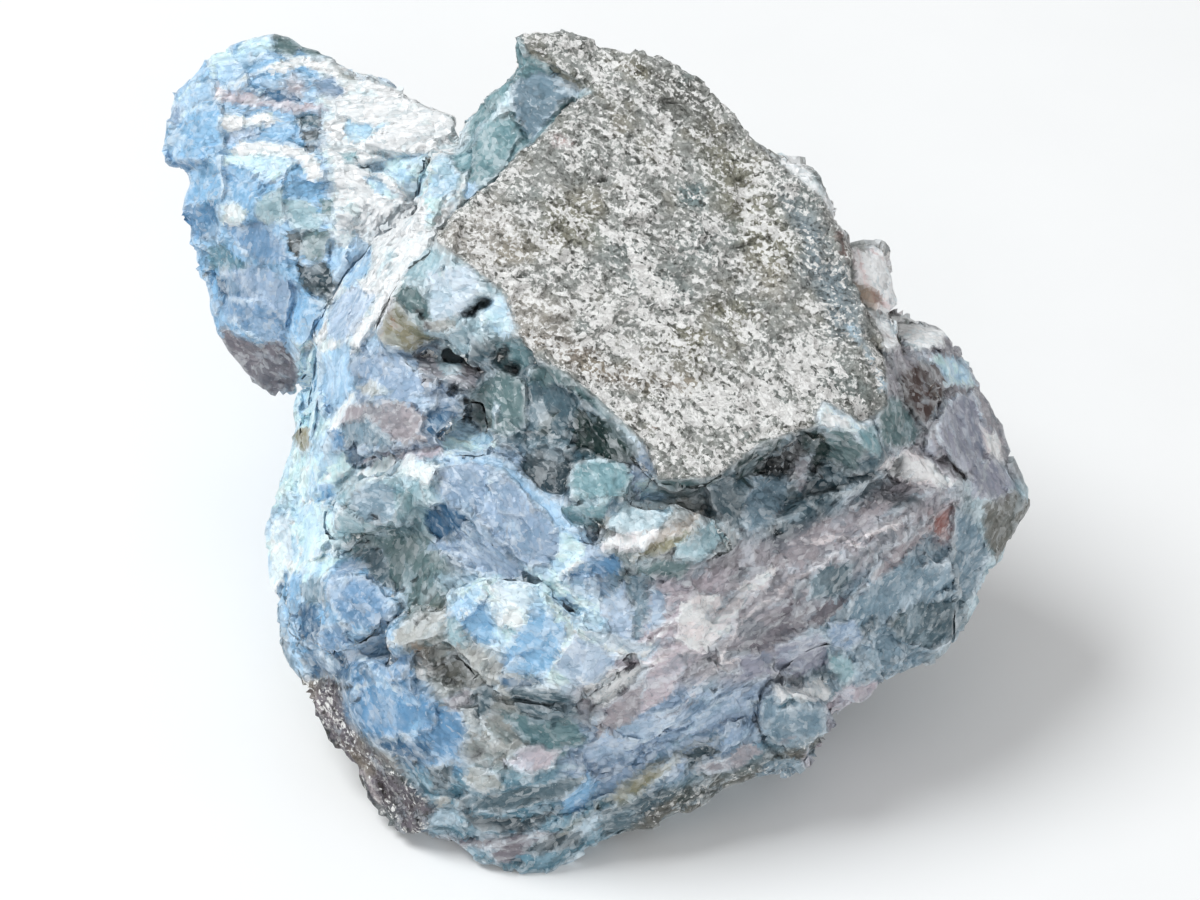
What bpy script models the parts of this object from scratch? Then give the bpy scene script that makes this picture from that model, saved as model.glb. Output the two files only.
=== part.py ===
"""A rough, hand-sized piece of larimar, unpolished, resting on a flat break.

The stone is one solid: chunks are fused, hollows and cracks are bitten out, and the skin is chipped.
Corners are laid out as they show from the display side: (right, up, toward) is that many millimetres
right of MIDDLE, above it, and towards the viewer. Corners of the back and the underside are (x, y, z) from
UNDER_MIDDLE. The stone's own frame has +Z up, the viewer towards -Y, and its origin under the middle.
"""

import math

import bmesh
import bpy
from mathutils import Vector, noise

MM = 0.001
VIEW_ELEVATION = math.radians(40)
VIEW_DISTANCE = 400.0
MIDDLE = Vector((0.7, -5.4, 27.5))
UNDER_MIDDLE = Vector((0.7, -5.4, 0.0))

FUSE_VOXEL = 0.6
TRIANGLES = 9400

# How far the whole skin swells, and the sizes of its chips with how far each stands out or in.
SWELL = 0.1
CHIPS = ((9.0, 0.75), (4.0, 0.5))

LARIMAR_BLUE = (0.5, 0.64, 0.72, 1.0)
LARIMAR_ROUGHNESS = 0.55

RIGHT = Vector((1.0, 0.0, 0.0))
UP = Vector((0.0, math.sin(VIEW_ELEVATION), math.cos(VIEW_ELEVATION)))
TOWARD = Vector((0.0, -math.cos(VIEW_ELEVATION), math.sin(VIEW_ELEVATION)))
SLAB_POINT = MIDDLE + TOWARD * 19.0
SLAB_NORMAL = (TOWARD + RIGHT * 0.13 + UP * 0.43).normalized()

# Each chunk is the hull of the corners that show and of those behind them.
CHUNKS = {
    "body": (
        [(-31.2, 3, -6), (-32, -8, -4), (-32.3, -14, -2), (-31.2, -20, -1), (-28.4, -26, 0), (-24.2, -33, 2),
         (-17.4, -38, 4), (-10, -41.3, 7), (-2, -40.6, 6), (4, -37.4, 6), (14, -32.4, 5),
         (25, -24.6, 4), (34, -19, 1), (40, -6, 1), (-14, -2, 12.5), (-5, -4, 14), (4, -8, 15.5),
         (14, -12, 15), (0, -24, 12.5), (-14, -28, 11), (22, -14, 12.4), (31, -6, 9), (8, -30, 9.6)],
        [(-27, 12, 16), (-20, 24, 8), (-15, 17, -2), (12, 20, -2), (20, 6, -2), (17, -15, -2), (-18, -13, -2),
         (-8, -29, -2), (30, 8, 20), (18, 28, 24), (-14, 30, 20), (10, 20, 42), (-12, 20, 34)],
    ),
    "left foot": (
        [(-30.6, -20, 0), (-28.4, -27, 1), (-24.6, -33.2, 2), (-23, -36.2, 2.6), (-21, -38, 3.4),
         (-17.5, -39, 5), (-15, -34, 9), (-18, -24, 11), (-26, -18, 6)],
        [(-20, -10, 2), (-14, -20, -2)],
    ),
    "near foot": (
        [(-14.5, -40.3, 6), (-12, -41.8, 6.5), (-7, -42.4, 7), (-2, -41.3, 7), (-4, -36, 10), (-12, -35, 10.5),
         (2, -37, 7.5)],
        [(-8, -20, -1), (2, -22, 2)],
    ),
    "underside": (
        [(-10, -41, 5), (4, -37, 3), (14, -32.6, 2), (26, -24, 0), (35, -19.4, -2), (38, -14, -4)],
        [(-26, 2, 7), (-18, -19, -1), (-15, 20, -1), (13, 22, -1), (21, 5, -1), (18, -13, -1), (34, 4, 14)],
    ),
    "slab": (
        [(-16.5, 21, 12.4), (-14.5, 23.8, 10.9), (-10, 26.5, 9.1), (-5.5, 31, 6.4), (0, 35.8, 3.5), (4, 40, 1.6),
         (8.4, 39, 1), (10.2, 37.8, 1.2), (13.4, 34.2, 2.2), (17.6, 29, 3.8), (21.9, 24.8, 5), (25.3, 20.2, 6.3),
         (27.3, 15, 8.4), (28.2, 10, 10.3), (28.6, 5, 12.4), (22, 4.5, 13.6), (15, 3, 15.6), (10, -2.5, 18.5),
         (7.5, -4.4, 19.6), (5, -3, 19.4), (4, 1, 18), (0, 5.5, 16.7), (-4, 8, 15.9), (-7.5, 10.5, 15.5),
         (-12, 18, 13), (8, 2, 10), (24, 4, 6), (20, 22, -4), (8, 36, -6), (-2, 33, -3), (-12, 20, 3)],
        [(8, 26, 36), (22, 14, 30)],
    ),
    "tip": (
        [(-8.6, 41.6, 2.3), (-5.5, 42, 2), (-2.5, 41.7, 1.8), (0, 40.8, 1.4), (4, 40.2, 1.2), (0, 35.6, 3.2),
         (-2.2, 38.2, 2.4), (-5, 40, 2.2), (-7.4, 38, 0.4), (-2.6, 36.8, 0.6), (-6, 39, -8), (6, 36, -8)],
        [(2, 34, 44)],
    ),
    "teal wall": (
        [(-7.5, 37.8, 0.4), (-9.5, 35.5, -1.4), (-11, 34, -2.6), (-13.3, 33, -5), (-2.2, 36.6, 0.6), (-6, 32, -2),
         (-9.6, 29.6, -2), (-12.6, 29, -3), (-9, 26, 0), (-12.5, 24, 2), (2, 34, -8), (-6, 20, -2)],
        [(-8, 36, 38), (4, 36, 30), (-8, 30, 14)],
    ),
    "blades": (
        [(-17.3, 29.5, -2), (-16.8, 30.4, -3.5), (-15.2, 30.3, -3), (-13.2, 28.6, -2), (-18, 25, 0),
         (-17.2, 21.8, 4), (-14, 24, 4), (-13.4, 26.4, 1.6), (-16, 20, -2), (-11, 24, -2), (-14, 30, -9)],
        [],
    ),
    "lobe": (
        [(-39, 39, -16), (-42.6, 35, -17), (-41.6, 27, -16.4), (-36, 39, -14), (-38, 33, -12), (-36, 24, -11),
         (-33, 14, -13), (-30, 41, -15), (-28, 40, -14), (-25, 38.2, -13), (-21, 36, -11.5), (-17, 34.6, -10),
         (-13.5, 32.6, -8.5), (-14, 28, -7),
         (-20, 31, -7), (-27, 30.5, -8.5), (-31, 27, -8.5), (-30, 20, -8.5), (-24, 18, -8), (-26, 12, -10),
         (-31, 9, -14)],
        [(-36, 34, 26), (-30, 42, 32), (-18, 42, 38), (-26, 38, 14), (-14, 38, 12), (-10, 30, 30), (-28, 24, 12)],
    ),
    "lobe nodules": (
        [(-43.8, 30.5, -16), (-44.1, 29.3, -15.5), (-42.9, 31.8, -15), (-43.7, 34, -17), (-42.4, 36.4, -17),
         (-40, 38, -16), (-38.5, 36, -12.5), (-39.6, 31.5, -12), (-37.5, 28, -11), (-41, 28, -14), (-40, 33, -19)],
        [(-38, 38, 30)],
    ),
    "lobe edge": (
        [(-42.2, 25.6, -15.5), (-42.4, 23.5, -15.5), (-41.4, 20, -15.5), (-39.8, 16.5, -16), (-39.2, 12.5, -16.5),
         (-36.6, 9, -17), (-33.8, 6.2, -17), (-30.6, 5.4, -16.5), (-30, 9, -13), (-33, 14, -12), (-36.5, 20, -11.5),
         (-37.5, 25.5, -12.5), (-40, 26.8, -14.5)],
        [(-34, 30, 22), (-28, 30, 16)],
    ),
    "lobe boss": (
        [(-39.6, 26.6, -12.6), (-36, 28.8, -10.4), (-31.6, 29, -8.6), (-31, 25, -7.4), (-35.4, 22.6, -9),
         (-39.4, 23, -12.4), (-35, 25, -14)],
        [],
    ),
    "lobe low boss": (
        [(-38, 20.6, -12.6), (-33.4, 20.8, -9.6), (-29.6, 18, -8.4), (-29.6, 12.6, -10), (-33.6, 10, -13.4),
         (-37.2, 13, -14), (-33, 16, -16)],
        [],
    ),
    "lobe crown": (
        [(-39, 38.5, -15.5), (-39, 40, -16), (-36, 40.8, -16), (-33.5, 41.9, -16), (-30, 41.6, -16), (-28, 40, -15),
         (-27, 36.5, -11.5), (-31, 36, -11), (-35.5, 36.5, -12), (-32, 39, -12.8)],
        [(-34, 42, 40)],
    ),
    "fan": (
        [(-28, 35, -11.4), (-20, 35.4, -9.5), (-14.3, 32.8, -7), (-14.8, 29.6, -4.6), (-18.6, 29.8, -5),
         (-24, 31.5, -7), (-27.6, 33, -8.5), (-20, 33, -6.6), (-20, 28, -12), (-14, 27, -10)],
        [],
    ),
    "lobe foot": (
        [(-29, 24, -9), (-26, 25, -6.5), (-24.5, 21, -6), (-25.5, 16, -6.5), (-27, 12, -8.5), (-29.5, 8, -12),
         (-30.8, 12, -12), (-31, 19, -10), (-24, 12, -8)],
        [(-28, 26, 18), (-20, 26, 12)],
    ),
    "ridge": (
        [(-17, 24, 4.4), (-19, 22.4, 4.2), (-21.6, 18.4, 4), (-23.2, 15, 3.2), (-25.4, 10.4, 2.6), (-26.6, 7, 2.2),
         (-24, 4, 6), (-20, 8, 9), (-18, 14, 9.6), (-15, 20, 9), (-22.4, 22, -3), (-25, 17, -4.6),
         (-28.6, 11, -6), (-24, 8, -8), (-14, 20, -6)],
        [],
    ),
    "flank": (
        [(-26.4, 14.6, -2), (-27.4, 12.6, -3), (-28.6, 8, -4), (-29.6, 4, -5), (-30.3, 1, -6), (-25, 12, 1.4),
         (-25.6, 6, 3), (-27.4, 0.4, 2.2), (-30.6, -3, -4), (-28, -6, 2), (-24, 2, 5.6), (-22, 8, -8),
         (-24, -2, -8)],
        [(-20, 20, 16)],
    ),
    "brown nub": (
        [(-30.2, 6.6, -9.6), (-30.9, 4.6, -8.4), (-31, 2.2, -8), (-30.2, 0.2, -7.4), (-29.2, 1.4, -5.6),
         (-28.8, 4.8, -6), (-28, 7.4, -6.4), (-27, 2, -10)],
        [],
    ),
    "granular lump": (
        [(-20.3, 17.6, 8.2), (-18.6, 19.8, 8.8), (-15.6, 20.6, 11.6), (-11.6, 19, 13.4), (-10.4, 15.6, 13.8),
         (-12.4, 12.6, 13.2), (-16.4, 12, 12.4), (-19.6, 13, 10.4), (-20.8, 15, 8.4), (-16.6, 16.4, 13),
         (-16, 10, 6), (-10, 12, 6)],
        [],
    ),
    "pale saddle": (
        [(-13, 17, 13), (-10.6, 17, 13.6), (-8, 13, 14.6), (-7.2, 10.4, 14.6), (-10, 9, 13.2), (-14, 8.6, 11.4),
         (-16.6, 12, 11.8), (-10, 13, 8)],
        [],
    ),
    "beige wedge": (
        [(-22.3, 12.4, 8), (-21.4, 15.6, 7.4), (-18.4, 13, 11.4), (-18, 11, 11.8), (-20.2, 10.2, 10),
         (-21.6, 10.4, 8.4), (-18, 12, 6)],
        [],
    ),
    "lilac brow": (
        [(-25, 9.6, 3), (-24.4, 4, 6.6), (-22, 0.4, 9), (-18, 8.6, 9.6), (-14.4, 8.6, 11), (-13.4, 4.6, 12),
         (-14.8, 1, 12.6), (-19, -0.6, 11.4), (-24, -1, 6.4), (-16, 4, 2), (-10, 8, 8)],
        [],
    ),
    "slate bay": (
        [(-12.6, 8, 11.4), (-8, 11.4, 12.4), (-3, 9.4, 12.6), (3.4, 5, 13.6), (6.4, -1, 15), (5.4, -4.4, 16.4),
         (-1, -5.4, 14.6), (-6, -3, 13.6), (-11, 0.6, 12.6), (-6, 5, 13), (0, 1, 13.8), (-6, 2, 4), (2, 2, 4)],
        [],
    ),
    "pale ridge": (
        [(-20.6, -0.8, 11.2), (-17, -1.2, 12.4), (-12.6, 0.6, 14.6), (-8.2, -1.8, 16), (-4, -4.8, 17),
         (-1.2, -9.6, 17.4), (-0.4, -12, 17), (-4.2, -12.4, 17.2), (-10, -9.4, 16.2), (-14.6, -6, 14.8), (-17, -5, 13.6),
         (-8, -12, 14), (-18, -4, 8), (-2, -4, 10)],
        [],
    ),
    "lower fan": (
        [(-1.2, -9.6, 17), (2, -8, 17.6), (10, -12, 17.8), (12, -16, 16.6), (9.6, -20, 16.4), (4.4, -20.6, 16.8),
         (0, -17, 16.8), (-5, -12.8, 16.4), (4, -12, 8), (8, -22, 10)],
        [],
    ),
    "bright block": (
        [(-15.4, -14.4, 14.2), (-11.4, -12.4, 16.4), (-8, -12.4, 17.6), (-3.6, -16.4, 18.4), (0, -19.2, 18.4),
         (4.2, -20.7, 17.4), (2, -23, 16.6), (-2.4, -26, 16.4), (-6.4, -23.6, 17), (-10, -24, 16),
         (-12, -21.6, 16), (-15, -19.6, 14.6),
         (-6, -18, 8), (-4, -24, 8)],
        [],
    ),
    "green knob": (
        [(-26.4, -4.4, 7), (-24, -2.6, 8.4), (-19.6, -2, 11.4), (-18, -4.4, 12.8), (-18.4, -7.4, 13), (-22, -8.6, 11.6),
         (-26.6, -8.8, 8.6), (-27.4, -7, 6.4), (-20, -6, 4)],
        [],
    ),
    "left blocks": (
        [(-30.6, -6, -1.6), (-29.4, -9, 1), (-26.6, -12.6, 7), (-22, -14, 9.6), (-20.6, -17.4, 11), (-24, -20, 9.6),
         (-28.4, -19.6, 5), (-30.6, -18, 1), (-31.5, -13, -1), (-24, -12, 0)],
        [],
    ),
    "pink boss": (
        [(-20.8, -18, 11), (-18.4, -15.8, 13), (-15, -16, 14), (-14.4, -19, 14.4), (-16.4, -20.6, 13.8),
         (-20.4, -19.4, 11.8),
         (-17, -18, 6)],
        [],
    ),
    "blue cheek": (
        [(-25.4, -21.4, 7.6), (-20, -20.8, 11.6), (-14, -23.4, 13), (-11.8, -27, 12.8), (-12.6, -31, 12), (-18, -31.6, 9.6),
         (-23, -29, 7), (-26, -25, 5), (-18, -26, 2)],
        [],
    ),
    "lower shelf": (
        [(-13, -27.4, 12.8), (-8, -28.6, 13), (-3, -29.6, 12.8), (0, -32, 12), (-2, -34.6, 11), (-10, -34.6, 11.4),
         (-16.4, -33, 10.4), (-8, -32, 4)],
        [],
    ),
    "bottom ribs": (
        [(-2, -37.6, 9.6), (6, -32.8, 10.8), (12, -27.6, 11), (19, -25, 10), (20, -29.6, 6.4), (17, -32.6, 4),
         (11, -34.2, 4.6), (5, -36.8, 6.4), (-2, -40.6, 7), (8, -30, 0)],
        [],
    ),
    "long flank": (
        [(3, -22.4, 16), (8, -20, 16.4), (14, -16.8, 15.8), (22, -11.4, 14.2), (31, -5, 10.8), (36, -2, 7),
         (31, -14, 9.8), (24, -20, 10.6), (14, -24.6, 12.4), (4, -29.6, 12.8), (-2, -27.4, 13.8), (14, -16, 6)],
        [],
    ),
    "teal heel": (
        [(30, -11, 9.8), (36, -10, 6), (36.4, -15, 3.4), (35.8, -19.9, 0), (30.4, -21.7, 3.6), (27.2, -24, 5),
         (25.4, -26.8, 5), (23, -22, 9), (24, -16, 11), (30, -16, 0)],
        [],
    ),
    "nodule": (
        [(16.4, -23.4, 9.6), (18.4, -23.2, 10.4), (23, -23.4, 10), (25, -25.4, 8.4), (24.6, -28, 6.4), (21.4, -31.6, 4.6),
         (18.4, -33.3, 3.4), (16.4, -32.6, 4), (15.4, -29.6, 7), (15.2, -26, 9), (18.4, -25.2, 11), (20, -28, 0)],
        [],
    ),
    "aqua blocks": (
        [(-3, -1.8, 17), (-1.4, -1.4, 16), (2.6, -1.6, 16.4), (3.6, -4.4, 18), (3.4, -7.6, 18.8), (-0.4, -7.6, 18.4),
         (-3.6, -5, 17.6), (0, -4, 12)],
        [],
    ),
    "fibrous block": (
        [(0, -8, 18), (3.4, -5.2, 18.2), (7.6, -5.2, 18.8), (13.8, -8, 18), (14.6, -9.2, 17.4), (12.4, -11, 18.4),
         (8.4, -12.4, 19.2), (3.6, -12.4, 18.8), (0, -10.2, 18.4), (8, -8, 20), (8, -9, 12)],
        [],
    ),
    "green lip": (
        [(21.6, 5.2, 13.4), (24.6, 4, 14), (28, 1.8, 13.8), (28.8, 0, 13), (26.6, -1.6, 13.4), (23, 0.4, 14.6),
         (22, 2.6, 15.2), (24, 2, 8)],
        [],
    ),
    "bay floor": (
        [(10, -3.8, 14.6), (14, -1, 13.4), (20, 1.4, 11.6), (28, -0.6, 11), (27, -4, 11.6), (20, -8, 13.4),
         (13, -9.6, 15), (16, -2, 6), (24, -2, 4)],
        [],
    ),
    "right shoulder": (
        [(24, 3, 11), (24, -3, 11), (28, 15, 6), (29.4, 13.6, 5.4), (31, 11, 5.6), (30.8, 4, 8.4),
         (28.8, 6, 10.6), (28.4, -1, 12),
         (31.4, -3, 9.4), (26, 8, 2), (26, 14, 0)],
        [],
    ),
    "right end": (
        [(31, 12.6, 0), (33, 12.6, -1), (36, 10.8, -3), (38, 8, -4), (39.6, 4, -4), (41.4, -1, -4), (43.4, -4.4, -4.6),
         (43.6, -6, -4.6), (42.8, -8.6, -4.6), (41, -10.6, -3.6), (38.4, -14, -2.4), (37.6, -17, -2.8),
         (35.8, -19.4, -3.4), (32, -18, 2), (30, -10, 8.4), (32, -4, 8.6), (36, -3.4, 6.4), (35, 2, 5.2),
         (33, 7.4, 5), (31.2, 10, 4.4)],
        [(38, 8, 16), (28, 18, 20), (26, 20, 32), (30, 2, 6)],
    ),
    "rust boss": (
        [(30.6, 7.4, 6), (32.6, 8, 6.4), (34.6, 6, 6.4), (34.2, 3.4, 7.4), (32.4, 2.6, 7.8), (31, 4, 7.6), (32, 5, 2)],
        [],
    ),
    "red knob": (
        [(25.4, 20.6, 3.4), (28.4, 20.6, 1.6), (29.9, 19, 1), (30.1, 16.2, 1.4), (30.8, 13.8, 2.6), (28.4, 13.8, 5.4),
         (25.4, 17, 6), (26, 16, -6)],
        [(24, 22, 34)],
    ),
    "pink sliver": (
        [(16.8, 29.4, 0), (18.8, 28.2, -2), (20.8, 26.6, -1.6), (21.9, 24.4, 1), (20, 22, -4), (14, 26, -6)],
        [(18, 26, 34)],
    ),
    "back": (
        [(2, 38, -6), (8, 34, -7)],
        [(-12, 38, 36), (2, 37, 40), (14, 30, 38), (22, 24, 28), (20, 28, 12), (6, 34, 14), (-12, 36, 12),
         (-22, 34, 10), (-16, 18, -1), (12, 21, -1), (-2, 20, 46)],
    ),
}

# Each bite is the hull of the corners of what broke away.
BITES = {
    "valley": [
        (-22, 26, 6), (-24.6, 20, 2), (-27.4, 14, -3), (-29.6, 9.4, -8), (-31.6, 6, -14), (-22, 24, -6.4),
        (-25.2, 18, -7.4), (-28, 12, -9.4), (-33, 2, -10), (-20, 27, -3.4), (-20.4, 28, 4),
    ],
    "bay under the lip": [
        (11, -4.6, 22), (14.6, -0.8, 20), (20.6, 2, 17), (25.6, 1.8, 15.6), (27.6, -0.8, 16), (25, -5, 18),
        (18, -8, 20), (13, -8, 22), (13, -3, 13.4), (17, -0.6, 11.2), (24, 0, 9.4), (25, -3, 10), (17, -6.4, 12.6),
    ],
    "black pit": [
        (-13, 15, 16), (-11, 15.4, 16), (-10.8, 13.6, 16), (-12.4, 12.8, 16), (-13.8, 11.4, 16),
        (-12.4, 14, 9.6), (-12, 13.4, 9.4),
    ],
    "dark hollow": [
        (-11, 10.4, 17), (-7.4, 10, 17), (-7, 8.2, 17), (-10, 7, 17), (-12, 8.4, 16), (-9.4, 9.2, 9.4), (-8, 8.6, 10),
    ],
    "black hole": [
        (-15.6, 7.2, 16), (-13.2, 6.8, 16), (-12.4, 4.8, 16), (-14.6, 4.4, 16), (-14.4, 6, 8.4), (-13.6, 5.4, 8.4),
    ],
    "crack behind the knob": [
        (-23, -7, 16), (-17, -7.8, 18), (-11.6, -9.2, 19), (-12.4, -8.2, 14), (-17.4, -7.2, 11.4), (-22, -7.6, 10),
        (-17, -9.2, 18), (-22, -8.6, 16),
    ],
    "dark patch": [
        (-25.6, -9, 13), (-19, -9.6, 16), (-14.8, -12.6, 18), (-15.4, -15.4, 18), (-19.6, -16, 17), (-23.6, -12.6, 14),
        (-22.6, -10.4, 8.4), (-18.4, -12, 9.6), (-18.6, -14.6, 10.2),
    ],
    "slot under the block": [
        (-12.4, -24.4, 20), (-8.6, -25.2, 20), (-2.4, -26.6, 20), (3, -27.4, 20), (-2, -28.6, 18), (-9, -27.6, 18),
        (-9.6, -25, 13.4), (-2.4, -26.6, 13.6), (2, -27, 14),
    ],
    "crease above the block": [
        (-8, -12.2, 20), (-3.4, -15.8, 20), (1, -18.8, 20), (4.6, -20.4, 20), (2.4, -18.2, 20), (-2.6, -14.6, 20),
        (-2.8, -15.4, 15.6), (1.4, -18.4, 15.8),
    ],
    "nodule crack": [
        (17.2, -22.6, 14), (16.2, -23.4, 14), (15, -26, 13), (15.6, -29.6, 12), (16.2, -32.8, 10), (15, -33, 8),
        (14.4, -29, 10), (14.2, -25.4, 12), (15.6, -26, 6.4), (15.8, -30, 4),
    ],
    "right crack": [
        (30, 12.4, 10), (30.8, 8, 11), (30.4, 4.4, 12), (32.6, 0.6, 12), (36.4, -3.6, 10), (35.6, -4, 9),
        (31.6, -0.6, 11), (30.2, 1, 12), (30.6, 5, 5), (32.2, 0.4, 5.4),
    ],
    "shadow under the wedge": [
        (-23, 10.2, 10), (-20, 9.8, 13), (-17.6, 10.6, 14), (-15.4, 8.8, 14), (-18.4, 7.8, 12), (-22, 8.2, 9),
        (-19, 9.2, 7.4), (-17, 9.4, 8.6),
    ],
    "notch beside the tip": [
        (-9, 42, 8), (-4.6, 39.4, 7), (-2.4, 37.6, 7), (-0.2, 35.6, 8), (-4, 31.4, 12), (-9, 27.4, 14),
        (-13, 25.4, 15), (-18, 30, 12), (-3.4, 36.4, 0.8), (-5.6, 31.6, 0.2), (-9.4, 28, 1.4), (-12.6, 26, 3),
        (-7.6, 38, 1.2), (-13.6, 29, 0.4),
    ],
    "lobe crease": [
        (-41, 29.2, -8), (-34, 30.6, -5), (-28, 30.6, -4), (-28, 29.8, -4), (-34, 29.4, -5), (-41, 28, -8),
        (-34, 30, -10.6), (-30, 30.2, -10),
    ],
    "lobe seam": [
        (-28.4, 35.2, -6), (-27.4, 35.2, -6), (-27.2, 27.5, -5), (-28.2, 27.5, -5), (-27.8, 31, -10.4),
        (-27.8, 34, -11.8),
    ],
    "bottom ledge": [
        (-16, -38.4, 12), (-10, -37.4, 14), (-3, -36.8, 14), (3, -34.6, 14), (-2, -38.8, 11), (-10, -39.6, 10),
        (-10, -37.6, 9), (-3, -37.4, 9.4),
    ],
}



def seen(right, up, toward):
    """The corner that shows there from VIEW_DISTANCE, in the stone's own frame, in millimetres."""
    nearer = 1.0 - toward / VIEW_DISTANCE
    return MIDDLE + (RIGHT * right + UP * up) * nearer + TOWARD * toward


def hull(built, corners):
    """Adds the hull of the corners as a closed body."""
    made = [built.verts.new(corner * MM) for corner in corners]
    wrapped = bmesh.ops.convex_hull(built, input=made)
    inside = {g for g in (*wrapped["geom_interior"], *wrapped["geom_unused"]) if isinstance(g, bmesh.types.BMVert)}
    bmesh.ops.delete(built, geom=list(inside), context="VERTS")


def applied(thing):
    """Makes the object's modified mesh its own mesh, with no modifiers left."""
    bpy.context.view_layer.update()
    mesh = bpy.data.meshes.new_from_object(thing.evaluated_get(bpy.context.evaluated_depsgraph_get()))
    thing.modifiers.clear()
    thing.data = mesh


def reskin(thing):
    """One even skin round all the bodies in the object."""
    remesh = thing.modifiers.new("reskin", "REMESH")
    remesh.mode = "VOXEL"
    remesh.voxel_size = FUSE_VOXEL * MM
    applied(thing)


def fused(name, bodies, collection):
    built = bmesh.new()
    for corners in bodies:
        hull(built, corners)
    bmesh.ops.recalc_face_normals(built, faces=built.faces)
    mesh = bpy.data.meshes.new(name)
    built.to_mesh(mesh)
    built.free()
    thing = bpy.data.objects.new(name, mesh)
    collection.objects.link(thing)
    reskin(thing)
    return thing


def smoothed(thing, rounds):
    smooth = thing.modifiers.new("smoothed", "SMOOTH")
    smooth.factor = 0.5
    smooth.iterations = rounds
    applied(thing)


def facet(place, size):
    """How far out the chip at this place stands, from -1 to 1: each chip is a flat with its own tilt."""
    near = noise.voronoi(place / size)[1][0]
    tilt = noise.noise_vector(near * 7.3)
    return (place / size - near).dot(tilt) * 2 + noise.noise(near * 3.1) * 0.6


def matrix_face(place):
    """1 on the flat face of host rock on top, 0 away from it."""
    above = (place - SLAB_POINT).dot(SLAB_NORMAL)
    return max(0.0, 1.0 - abs(above) / 1.6)


def chipped(thing):
    """Breaks the skin into flat chips of several sizes, and leaves the host rock's face nearly flat."""
    mesh = thing.data
    outward = [vertex.normal.copy() for vertex in mesh.vertices]
    for vertex, normal in zip(mesh.vertices, outward):
        place = vertex.co / MM
        rough = sum(depth * facet(place, size) for size, depth in CHIPS)
        vertex.co += normal * (SWELL + rough * (1 - 0.7 * matrix_face(place))) * MM


def thinned(thing, triangles):
    """Fewer triangles, with the edges kept."""
    thing.data.calc_loop_triangles()
    decimate = thing.modifiers.new("thinned", "DECIMATE")
    decimate.ratio = triangles / len(thing.data.loop_triangles)
    applied(thing)


def rested(thing):
    """Breaks the underside off flat at z = 0 and brings the footprint's middle to the origin."""
    built = bmesh.new()
    built.from_mesh(thing.data)
    cut = bmesh.ops.bisect_plane(
        built, geom=[*built.verts, *built.edges, *built.faces], plane_co=(0, 0, 0), plane_no=(0, 0, 1), clear_inner=True
    )
    rim = [g for g in cut["geom_cut"] if isinstance(g, bmesh.types.BMEdge)]
    bmesh.ops.contextual_create(built, geom=rim)
    bmesh.ops.recalc_face_normals(built, faces=built.faces)
    bmesh.ops.triangulate(built, faces=built.faces)
    across = [vertex.co.x for vertex in built.verts]
    along = [vertex.co.y for vertex in built.verts]
    middle = Vector(((min(across) + max(across)) / 2, (min(along) + max(along)) / 2, 0))
    bmesh.ops.translate(built, verts=built.verts, vec=-middle)
    built.to_mesh(thing.data)
    built.free()


for thing in list(bpy.data.objects):
    bpy.data.objects.remove(thing)
stone_parts = bpy.data.collections.new("larimar stone")
stone_cutters = bpy.data.collections.new("larimar cutters")
bpy.context.scene.collection.children.link(stone_parts)
bpy.context.scene.collection.children.link(stone_cutters)

stone = fused(
    "larimar",
    [[seen(*c) for c in shown] + [UNDER_MIDDLE + Vector(c) for c in hidden] for shown, hidden in CHUNKS.values()],
    stone_parts,
)
bites = fused("bites", [[seen(*c) for c in corners] for corners in BITES.values()], stone_cutters)
bites.hide_render = True
bites.display_type = "WIRE"
cut = stone.modifiers.new("bitten", "BOOLEAN")
cut.operation = "DIFFERENCE"
cut.object = bites
applied(stone)
reskin(stone)
smoothed(stone, 1)
chipped(stone)
reskin(stone)
thinned(stone, TRIANGLES)
rested(stone)

larimar = bpy.data.materials.new("larimar")
larimar.use_nodes = True
surface = larimar.node_tree.nodes["Principled BSDF"]
surface.inputs["Base Color"].default_value = LARIMAR_BLUE
surface.inputs["Roughness"].default_value = LARIMAR_ROUGHNESS
surface.inputs["Metallic"].default_value = 0.0
stone.data.materials.clear()
stone.data.materials.append(larimar)
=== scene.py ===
"""The looks of a rough larimar: waxy blue pectolite in small broken faces, under a slab of host rock."""

import itertools

import bpy
import numpy as np
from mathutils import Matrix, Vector
from mathutils.bvhtree import BVHTree
from mathutils.kdtree import KDTree


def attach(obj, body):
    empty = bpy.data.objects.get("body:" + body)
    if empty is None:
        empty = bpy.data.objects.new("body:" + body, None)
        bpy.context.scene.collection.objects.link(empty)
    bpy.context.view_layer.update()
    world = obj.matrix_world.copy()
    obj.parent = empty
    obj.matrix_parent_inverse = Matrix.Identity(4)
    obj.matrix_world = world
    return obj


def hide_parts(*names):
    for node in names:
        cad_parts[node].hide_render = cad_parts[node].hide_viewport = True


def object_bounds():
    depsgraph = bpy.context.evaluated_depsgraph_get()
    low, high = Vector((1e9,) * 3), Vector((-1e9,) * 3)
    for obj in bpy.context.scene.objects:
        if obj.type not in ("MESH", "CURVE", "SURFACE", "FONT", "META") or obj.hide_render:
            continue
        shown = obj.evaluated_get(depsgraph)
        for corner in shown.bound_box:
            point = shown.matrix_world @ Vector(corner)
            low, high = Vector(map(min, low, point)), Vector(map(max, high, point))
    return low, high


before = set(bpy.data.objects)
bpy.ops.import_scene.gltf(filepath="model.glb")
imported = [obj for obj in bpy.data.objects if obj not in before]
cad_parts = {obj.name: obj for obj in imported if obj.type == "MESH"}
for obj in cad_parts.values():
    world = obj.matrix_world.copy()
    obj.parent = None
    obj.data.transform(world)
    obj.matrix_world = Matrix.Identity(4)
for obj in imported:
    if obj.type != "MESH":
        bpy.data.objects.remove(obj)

MM = 0.001
CAD_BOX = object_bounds()

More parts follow.
